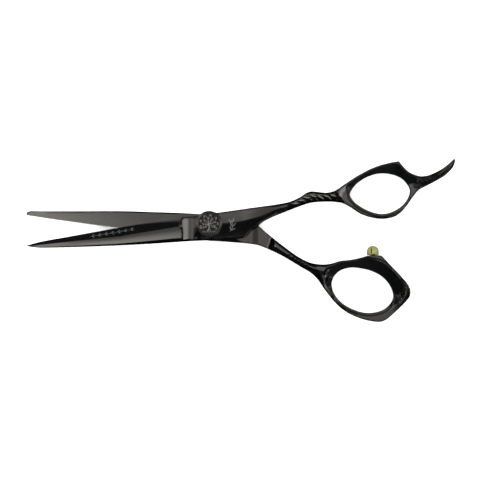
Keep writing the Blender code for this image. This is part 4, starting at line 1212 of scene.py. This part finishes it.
def ornament_tree(tree, radius):
    """A trunk and roots, and branches that end in curls all round the plate."""
    tree.strand([(-0.1, -2.4), (0.1, -1.4), (-0.08, -0.5), (0.0, 0.4)], 0.42, 0.22, taper=0.8)
    for lean in (-1.0, -0.55, 0.0, 0.55, 1.0):
        tip = np.array([lean * 1.9, -2.5 - 1.15 * (1 - 0.3 * abs(lean))])
        tree.strand([(0.12 * lean, -1.9), (tip[0] * 0.45, tip[1] + 0.55), tip], 0.2, 0.2)
        tree.bead(tip, 0.24, 0.2)
    root = np.array([0.0, -0.3])
    for index in range(BRANCHES):
        direction = -0.5 + index * (math.pi + 1.0) / (BRANCHES - 1)
        handed = 1 if index % 2 else -1
        heading = np.array([math.cos(direction), math.sin(direction)])
        side = np.array([-heading[1], heading[0]])
        tip = heading * (radius - 0.95) + side * handed * 0.12
        middle = root + (tip - root) * 0.5 - side * handed * 0.15
        tree.strand([root, middle, tip], 0.15, 0.2, taper=0.8)
        tree.spiral(tip + side * handed * 0.3, 0.42, direction, 1.15, 0.14, 0.2, handed)
        fork = root + (tip - root) * (0.62 if index % 2 else 0.72)
        tree.spiral(fork - side * handed * 0.34, 0.34, direction, 1.0, 0.13, 0.2, -handed)
        if index % 2:
            fork = root + (tip - root) * 0.4
            tree.spiral(fork + side * handed * 0.26, 0.26, direction, 0.9, 0.12, 0.18, handed)
    for direction, reach in ((3.68, 3.5), (3.72, 2.5), (3.95, 1.7), (4.08, 3.6),
                             (5.34, 3.6), (5.48, 1.7), (5.70, 2.5), (5.74, 3.5)):
        centre = np.array([math.cos(direction), math.sin(direction)]) * reach
        tree.spiral(centre, 0.48, direction, 1.2, 0.14, 0.2, 1 if math.cos(direction) > 0 else -1)


def bumper_axis(node):
    """The bumper's seat and the node's extent along the bumper's axis, from the seat."""
    low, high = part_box(node)
    x = (low.x + high.x) / 2 / MM
    return x, low.y / MM, high.y / MM, (high.x - low.x) / 2 / MM


def flute_share(radius, height, angle):
    """How deep the flute lies at a place on the bumper's side, as a share of its depth."""
    away = math.remainder(angle - FLUTE_ANGLE, 2 * math.pi) * radius / FLUTE_HALF_WIDTH
    inside_flute = abs(away) < 1 and FLUTE_START < height < FLUTE_LENGTH
    return math.sqrt(1 - away ** 2) if inside_flute else 0.0


def mark_painted_shade(mesh, shares):
    mesh.attributes.new("recess", "FLOAT", "POINT").data.foreach_set("value", shares)
    return mesh


def bumper_cap():
    """The dome, with a short flute in its side that takes a tommy bar."""
    x, foot, top, radius = bumper_axis("bumper_cap")
    height = top - foot - DOME_CLEARANCE
    straight = height - radius * 0.88
    profile = [(0, BUMPER_BORE_DEPTH), (BUMPER_BORE, BUMPER_BORE_DEPTH), (BUMPER_BORE, 0.0),
               (radius - 0.16, 0.0), (radius - 0.04, 0.08), (radius, 0.2), (radius - 0.02, 0.42),
               (radius - 0.1, 0.5), (radius - 0.1, 0.62), (radius - 0.03, 0.7), (radius - 0.04, straight)]
    for step in range(1, DOME_STEPS):
        angle = math.pi / 2 * step / DOME_STEPS
        profile.append(((radius - 0.04) * math.cos(angle) ** 0.9,
                        straight + (height - straight) * math.sin(angle)))
    profile.append((0, height))

    def shape(across, up, angle):
        depth = FLUTE_DEPTH * flute_share(radius, up, angle) if across > 1 else 0
        return on_circle(across - depth, up, angle)

    mesh = turned_mesh("bumper_dome", profile, 240, shape, centre=(x, foot, 0), upright=False)
    # The flute's vertices are marked for painted shade
    places = [(vertex.co - PIVOT) / MM for vertex in mesh.vertices]
    return mark_painted_shade(mesh, [flute_share(radius, place.y - foot, math.atan2(-place.z, place.x - x))
                              for place in places])


def bumper_washer():
    x, foot, top, radius = bumper_axis("bumper_washer")
    profile = eased(box_profile(BUMPER_BORE, radius, 0, top - foot), 0.1)
    mesh = turned_mesh("bumper_seat_ring", profile, centre=(x, foot, 0), upright=False)
    # The whole seat ring under the dome is marked for painted shade
    return mark_painted_shade(mesh, [0.8] * len(mesh.vertices))


def bumper_screw():
    x, foot, top, radius = bumper_axis("bumper_screw")
    profile = [(0, 0), (radius - 0.2, 0)]
    pitch, height = 0.4, 0.2
    while height + pitch < top - foot - 0.2:
        profile += [(radius, height), (radius - 0.12, height + pitch / 2)]
        height += pitch
    profile += [(radius, height), (radius - 0.15, top - foot), (0, top - foot)]
    return turned_mesh("bumper_set_screw", profile, 48, centre=(x, foot, 0), upright=False)


# ---------------------------------------------------------------- materials

class Nodes:
    """A short way to write a material's or the world's node tree."""

    def __init__(self, tree):
        self.tree = tree

    def add(self, kind, inputs=None, **settings):
        made = self.tree.nodes.new(kind)
        for key, value in settings.items():
            setattr(made, key, value)
        for key, value in (inputs or {}).items():
            self.feed(made.inputs[key], value)
        return made

    def feed(self, socket, value):
        if isinstance(value, bpy.types.NodeSocket):
            self.tree.links.new(value, socket)
        else:
            socket.default_value = value

    def maths(self, operation, first, second=0.0, third=0.0, clamp=False):
        made = self.add("ShaderNodeMath", {0: first, 1: second, 2: third}, operation=operation)
        made.use_clamp = clamp
        return made.outputs[0]

    def colour_mix(self, share, first, second, blend="MIX"):
        made = self.add("ShaderNodeMix", data_type="RGBA", blend_type=blend)
        self.feed(made.inputs[0], share)
        self.feed(made.inputs[6], first)
        self.feed(made.inputs[7], second)
        return made.outputs[2]

    def ranged(self, value, low, high, out_low=0.0, out_high=1.0, kind="SMOOTHSTEP"):
        made = self.add("ShaderNodeMapRange", {"Value": value, "From Min": low, "From Max": high,
                                               "To Min": out_low, "To Max": out_high})
        made.interpolation_type = kind
        return made.outputs["Result"]

    def noise(self, place, scale, detail=3.0, roughness=0.5):
        made = self.add("ShaderNodeTexNoise", {"Scale": scale, "Detail": detail,
                                               "Roughness": roughness, "Vector": place})
        return made.outputs["Fac"]

    def mark(self, name):
        return self.add("ShaderNodeAttribute", attribute_name=name).outputs["Fac"]


class Material(Nodes):
    """A material's node tree, whose shader takes plain values or other nodes' outputs."""

    def __init__(self, name):
        self.made = bpy.data.materials.new(name)
        self.made.use_nodes = True
        super().__init__(self.made.node_tree)
        self.shader = self.tree.nodes["Principled BSDF"]

    def place_in_mm(self, stretch=(1, 1, 1)):
        """Object coordinates in millimetres, with each axis stretched for streaks."""
        coordinates = self.add("ShaderNodeTexCoord").outputs["Object"]
        scale = tuple(value / MM for value in stretch)
        return self.add("ShaderNodeMapping", {"Vector": coordinates, "Scale": scale}).outputs["Vector"]

    def finish(self, colour, roughness, metallic=0.0, height=None, strength=0.0, depth=0.0):
        """Feed the shader. height is a bump map, with its strength and its depth in millimetres."""
        self.feed(self.shader.inputs["Base Color"], colour)
        self.feed(self.shader.inputs["Roughness"], roughness)
        self.shader.inputs["Metallic"].default_value = metallic
        if height is not None:
            bump = self.add("ShaderNodeBump", {"Height": height, "Strength": strength,
                                               "Distance": depth * MM})
            self.feed(self.shader.inputs["Normal"], bump.outputs["Normal"])
        return self.made


def tinted(colour, gain=1.0):
    return (*[gain * value for value in colour], 1)


COATING_COOL = (0.97, 0.99, 1.0)
COATING_WARM = (1.08, 1.03, 0.94)
# The near-black colour of the painted shade in recesses
PAINTED_RECESS_SHADE = (0.05, 0.05, 0.06)
ETCHED_COLOUR = (0.62, 0.62, 0.6)


def blackened_steel(name, tone, roughness, streaks=(0.02, 1.0, 1.0), recess_shade_share=1.0,
                    highlight_gain=(2.6, 2.5, 2.3)):
    """Mirror-polished steel under a gun-metal coating, dull in its recesses, which are darkened as painted
    shade; edges and relief crowns are brightened as a painted highlight.
    """
    steel = Material(name)
    cloud = steel.noise(steel.place_in_mm(), 0.16, 2.0)
    streak = steel.noise(steel.place_in_mm(streaks), 9.0, 3.0, 0.6)
    speck = steel.noise(steel.place_in_mm(), 5.0, 4.0, 0.7)
    recess, etch, painted_highlight = steel.mark("recess"), steel.mark("etch"), steel.mark("painted_highlight")

    colour = steel.colour_mix(cloud, tinted(COATING_COOL, tone), tinted(COATING_WARM, tone))
    # Painted highlight: marked edges and relief crowns are brightened
    colour = steel.colour_mix(painted_highlight, colour, tinted(highlight_gain, tone))
    # Painted shade: recesses are darkened towards a near-black colour
    sunk = steel.maths("MULTIPLY", steel.maths("POWER", recess, 0.6), recess_shade_share)
    colour = steel.colour_mix(sunk, colour, tinted(PAINTED_RECESS_SHADE, tone))
    colour = steel.colour_mix(steel.maths("MULTIPLY", etch, 0.85), colour, tinted(ETCHED_COLOUR))

    polish = steel.ranged(streak, 0.3, 0.8, roughness, roughness + 0.07, "LINEAR")
    polish = steel.maths("ADD", polish, steel.maths("MULTIPLY", recess, 0.15))
    polish = steel.maths("ADD", polish, steel.maths("MULTIPLY", etch, 0.5))
    polish = steel.maths("ADD", polish, steel.ranged(speck, 0.62, 0.8, 0.0, 0.08), clamp=True)

    height = steel.maths("ADD", steel.maths("MULTIPLY", streak, 0.35),
                         steel.maths("MULTIPLY", speck, steel.maths("ADD", recess, 0.08)))
    return steel.finish(colour, polish, 1.0, height, 0.10, 0.04)


def machined_metal(name, colour, roughness, ring_scale=14.0):
    """Turned metal with fine tool rings round the pivot axis and a little tarnish."""
    metal = Material(name)
    place = metal.place_in_mm()
    parts = metal.add("ShaderNodeSeparateXYZ", {"Vector": place}).outputs
    across = metal.add("ShaderNodeCombineXYZ", {"X": parts["X"], "Y": parts["Y"]}).outputs[0]
    away = metal.add("ShaderNodeVectorMath", {0: across}, operation="LENGTH").outputs["Value"]
    turned = metal.add("ShaderNodeCombineXYZ", {"X": away, "Y": parts["Z"]}).outputs[0]
    rings = metal.noise(turned, ring_scale, 2.0)
    tarnish = metal.ranged(metal.noise(place, 0.9, 4.0, 0.6), 0.4, 0.75)
    colour = metal.colour_mix(tarnish, tinted(colour), tinted(colour, 0.72))
    polish = metal.ranged(rings, 0.3, 0.7, roughness, roughness + 0.12, "LINEAR")
    return metal.finish(colour, polish, 1.0, rings, 0.15, 0.03)


def pale_brass():
    """The bumper's pale, softly polished brass with random tarnish, darkened in its flute and on its seat
    ring as painted shade.
    """
    brass = Material("bumper_brass")
    tarnish = brass.ranged(brass.noise(brass.place_in_mm(), 1.1, 3.0), 0.4, 0.7)
    scratches = brass.noise(brass.place_in_mm((1, 0.06, 1)), 7.0, 2.0)
    colour = brass.colour_mix(tarnish, (0.46, 0.45, 0.19, 1), (0.36, 0.35, 0.12, 1))
    # Painted shade: the flute and the seat ring are darkened
    colour = brass.colour_mix(brass.mark("recess"), colour, (0.05, 0.045, 0.01, 1))
    polish = brass.ranged(scratches, 0.3, 0.7, 0.12, 0.24, "LINEAR")
    return brass.finish(colour, polish, 0.68, scratches, 0.12, 0.03)


def slip_polymer():
    polymer = Material("slip_polymer")
    mottle = polymer.noise(polymer.place_in_mm(), 2.2, 4.0)
    colour = polymer.colour_mix(mottle, (0.78, 0.77, 0.72, 1), (0.66, 0.65, 0.60, 1))
    return polymer.finish(colour, polymer.ranged(mottle, 0.3, 0.7, 0.45, 0.6, "LINEAR"))


# ---------------------------------------------------------------- pieces on their bodies

def plain_ring(name, node, inner, easing):
    size = node_size(node)
    return turned_mesh(name, eased(box_profile(inner, size.radius, size.bottom, size.top), easing))


def build_pieces():
    """Every piece rides on its node's body and stands for that node."""
    finishes = {
        "blackened_steel": blackened_steel("blackened_steel", 0.17, 0.05),
        "dial_steel": machined_metal("dial_rim_steel", (0.22, 0.22, 0.215), 0.12),
        "stud_steel": machined_metal("stud_steel", (0.24, 0.24, 0.24), 0.22),
        "bearing_steel": machined_metal("bearing_steel", (0.62, 0.62, 0.64), 0.10),
        "spring_steel": machined_metal("spring_steel", (0.20, 0.21, 0.27), 0.28),
        "bearing_bronze": machined_metal("bearing_bronze", (0.55, 0.38, 0.20), 0.25),
        "bumper_brass": pale_brass(),
        "slip_polymer": slip_polymer(),
    }
    # The medallion's steel takes less painted shade in its field and a weaker painted highlight on its
    # relief
    relief = blackened_steel("dial_relief_steel", 0.17, 0.12, (1.0, 1.0, 1.0), 0.8, (1.9, 1.9, 1.8))
    bush = plain_ring("pivot_bush_liner", "pivot_bush", STUD_RADIUS + FIT, 0.08)
    washer = plain_ring("ride_washer_disc", "ride_washer", WASHER_INNER, 0.05)
    pieces = [
        ("finger_half", finger_half(), "finger_side", "blackened_steel"),
        ("thumb_half", thumb_half(), "thumb_side", "blackened_steel"),
        ("pivot_stud", pivot_stud(), "thumb_side", "stud_steel"),
        ("pivot_bush", bush, "finger_side", "bearing_bronze"),
        ("ride_washer", washer, "finger_side", "slip_polymer"),
        ("lower_race", bearing_race("lower_race", 1), "finger_side", "bearing_steel"),
        ("upper_race", bearing_race("upper_race", -1), "thumb_side", "bearing_steel"),
        ("bearing_cage", bearing_cage(), "ball_cage", "bearing_bronze"),
        *[(f"ball_{index}", bearing_ball(index), "ball_cage", "bearing_steel") for index in BALLS],
        ("wave_spring", wave_spring(), "thumb_side", "spring_steel"),
        ("click_plate", click_plate(), "click_detent", "spring_steel"),
        ("tension_dial", tension_dial(), "dial", "dial_steel"),
        ("dial_medallion", dial_medallion(), "dial", "dial_steel"),
        ("bumper_cap", bumper_cap(), "thumb_side", "bumper_brass"),
        ("bumper_washer", bumper_washer(), "thumb_side", "bumper_brass"),
        ("bumper_screw", bumper_screw(), "thumb_side", "stud_steel"),
    ]
    for node, mesh, body, slot in pieces:
        piece = add_object(mesh.name, mesh)
        mesh.materials.append(relief if node == "dial_medallion" else finishes[slot])
        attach(piece, body)
        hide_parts(node)


# ---------------------------------------------------------------- studio

def build_floor():
    """A plain pale floor. Polished metal doesn't mirror it, as if it lay far below."""
    bm = bmesh.new()
    bmesh.ops.create_grid(bm, x_segments=1, y_segments=1, size=3.0)
    mesh = bpy.data.meshes.new("floor")
    bm.to_mesh(mesh)
    bm.free()
    floor = add_object("floor", mesh)
    floor.location.z = cad_box[0].z - FLOOR_GAP * MM
    floor.visible_glossy = False
    mesh.materials.append(Material("pale_floor").finish((0.93, 0.93, 0.93, 1), 0.9))


FLOOR_GAP = 0.2
# What the polished metal mirrors. Overhead, a soft window whose brightness follows the mirrored
# direction's X and Y parts.
WINDOW_ACROSS_X = ((-0.42, 0.3), (-0.22, 0.9), (-0.10, 1.25), (-0.075, 1.05), (-0.055, 0.70),
                   (-0.038, 0.40), (-0.02, 0.31), (0.0, 0.39), (0.03, 0.50), (0.06, 0.50),
                   (0.10, 0.30), (0.15, 0.17), (0.22, 0.16), (0.32, 0.09), (0.42, 0.0))
WINDOW_ACROSS_Y = ((-0.45, 0.0), (-0.31, 0.02), (-0.2, 0.10), (-0.11, 0.35), (-0.05, 0.8), (0.0, 1.0),
                   (0.05, 1.2), (0.12, 1.1), (0.25, 0.6), (0.4, 0.15), (0.5, 0.0))
WINDOW_TINT = (1.0, 0.98, 0.92)
NEUTRAL = (1.0, 1.0, 1.0)
# Round it, soft cards: direction, inner and outer angle from it, brightness, tint
CARDS = [
    ((0.75, 0.1, 0.66), 4.0, 20.0, 0.6, (1.0, 1.0, 0.97)),
    ((-0.75, 0.1, 0.66), 4.0, 20.0, 0.6, (1.0, 1.0, 0.97)),
    ((-0.18, 0.98, 0.16), 2.0, 10.0, 0.35, NEUTRAL),
    ((-0.64, 0.64, 0.42), 5.0, 18.0, 0.6, NEUTRAL),
    ((0.68, -0.68, 0.26), 4.0, 13.0, 0.5, NEUTRAL),
    ((0.0, -1.0, 0.04), 3.0, 9.0, 0.3, NEUTRAL),
    ((1.0, 0.0, 0.04), 3.0, 9.0, 0.4, NEUTRAL),
    ((0.64, -0.64, -0.42), 8.0, 26.0, 0.3, NEUTRAL),
    ((-0.68, 0.68, -0.26), 8.0, 22.0, 0.3, NEUTRAL),
]
# A faint band of light stands all round over the horizon, brighter to the right
HORIZON_ACROSS_X = ((-0.5, 0.004), (-0.3, 0.006), (-0.15, 0.015), (0.2, 0.024), (0.5, 0.06))
DARK_ROOM = (0.007, 0.009, 0.012)
OPEN_LIGHT = 2.4


def brightness_along(nodes, value, stops):
    """A brightness that follows a value between stops, given as (value, brightness).

    Values run from -0.5 to 0.5, and a ramp holds brightnesses up to 1, so they are halved in it.
    """
    ramp = nodes.add("ShaderNodeValToRGB", {"Fac": nodes.ranged(value, -0.5, 0.5, kind="LINEAR")})
    elements = ramp.color_ramp.elements
    elements.remove(elements[1])
    elements[0].position = stops[0][0] + 0.5
    for place, _ in stops[1:]:
        elements.new(place + 0.5)
    for element, (_, brightness) in zip(elements, stops):
        element.color = (*[brightness * 0.5] * 3, 1)
    return nodes.maths("DIVIDE", ramp.outputs["Color"], 0.5)


def build_world():
    """White to the camera and to matt surfaces; a dark room with a window and cards to the metal."""
    world = bpy.data.worlds.new("studio")
    bpy.context.scene.world = world
    world.use_nodes = True
    tree = world.node_tree
    tree.nodes.clear()
    nodes = Nodes(tree)
    direction = nodes.add("ShaderNodeTexCoord").outputs["Generated"]
    parts = nodes.add("ShaderNodeSeparateXYZ", {"Vector": direction}).outputs
    window = nodes.maths("MULTIPLY", brightness_along(nodes, parts["X"], WINDOW_ACROSS_X),
                         brightness_along(nodes, parts["Y"], WINDOW_ACROSS_Y))
    window = nodes.maths("MULTIPLY", window, nodes.ranged(parts["Z"], 0.3, 0.7))
    window = nodes.add("ShaderNodeVectorMath", {0: WINDOW_TINT, "Scale": window}, operation="SCALE")
    total = nodes.colour_mix(1.0, tinted(DARK_ROOM), window.outputs["Vector"], "ADD")
    band = brightness_along(nodes, nodes.maths("MULTIPLY", parts["X"], 0.5), HORIZON_ACROSS_X)
    band = nodes.maths("MULTIPLY", band, nodes.ranged(parts["Z"], -0.06, 0.1))
    band = nodes.maths("MULTIPLY", band, nodes.ranged(parts["Z"], 0.75, 0.55))
    total = nodes.colour_mix(1.0, total, band, "ADD")
    for aim, inner, outer, brightness, tint in CARDS:
        aim = Vector(aim).normalized()
        facing = nodes.add("ShaderNodeVectorMath", {0: direction, 1: aim}, operation="DOT_PRODUCT")
        share = nodes.ranged(facing.outputs["Value"], math.cos(math.radians(outer)),
                             math.cos(math.radians(inner)))
        glow = nodes.colour_mix(share, (0, 0, 0, 1), tinted(tint, brightness))
        total = nodes.colour_mix(1.0, total, glow, "ADD")
    mirror = nodes.add("ShaderNodeBackground", {"Color": total, "Strength": 1.0})
    white = nodes.add("ShaderNodeBackground", {"Color": (1, 1, 1, 1), "Strength": OPEN_LIGHT})
    rays = nodes.add("ShaderNodeLightPath")
    choice = nodes.add("ShaderNodeMixShader", {0: rays.outputs["Is Glossy Ray"],
                                               1: white.outputs[0], 2: mirror.outputs[0]})
    out = nodes.add("ShaderNodeOutputWorld")
    tree.links.new(choice.outputs[0], out.inputs["Surface"])


def build_camera():
    """Straight above the shears, far off with a long lens."""
    view_centre = Vector((12.0, -6.25, 0.0)) * MM + PIVOT
    view_width = 187.2 * MM
    camera_data = bpy.data.cameras.new("camera")
    camera_data.lens = 200
    camera_data.sensor_width = 36
    camera_data.clip_start = 0.01
    camera = add_object("camera", camera_data)
    distance = view_width * camera_data.lens / camera_data.sensor_width
    camera.location = view_centre + Vector((0, 0, distance))
    bpy.context.scene.camera = camera


def build_lights():
    """One broad soft light from above, for the floor and the matt pieces only."""
    light_data = bpy.data.lights.new("soft_light", "AREA")
    light_data.size = 1.2
    light_data.energy = 9.0
    light = add_object("soft_light", light_data)
    light.location = (-0.3, 0.5, 1.3)
    light.rotation_euler = (Vector((0, 0, 0)) - light.location).to_track_quat("-Z", "Y").to_euler()
    light.visible_glossy = False
    light.visible_camera = False


build_pieces()
build_floor()
build_world()
build_camera()
build_lights()
bpy.context.scene.view_settings.view_transform = "Standard"
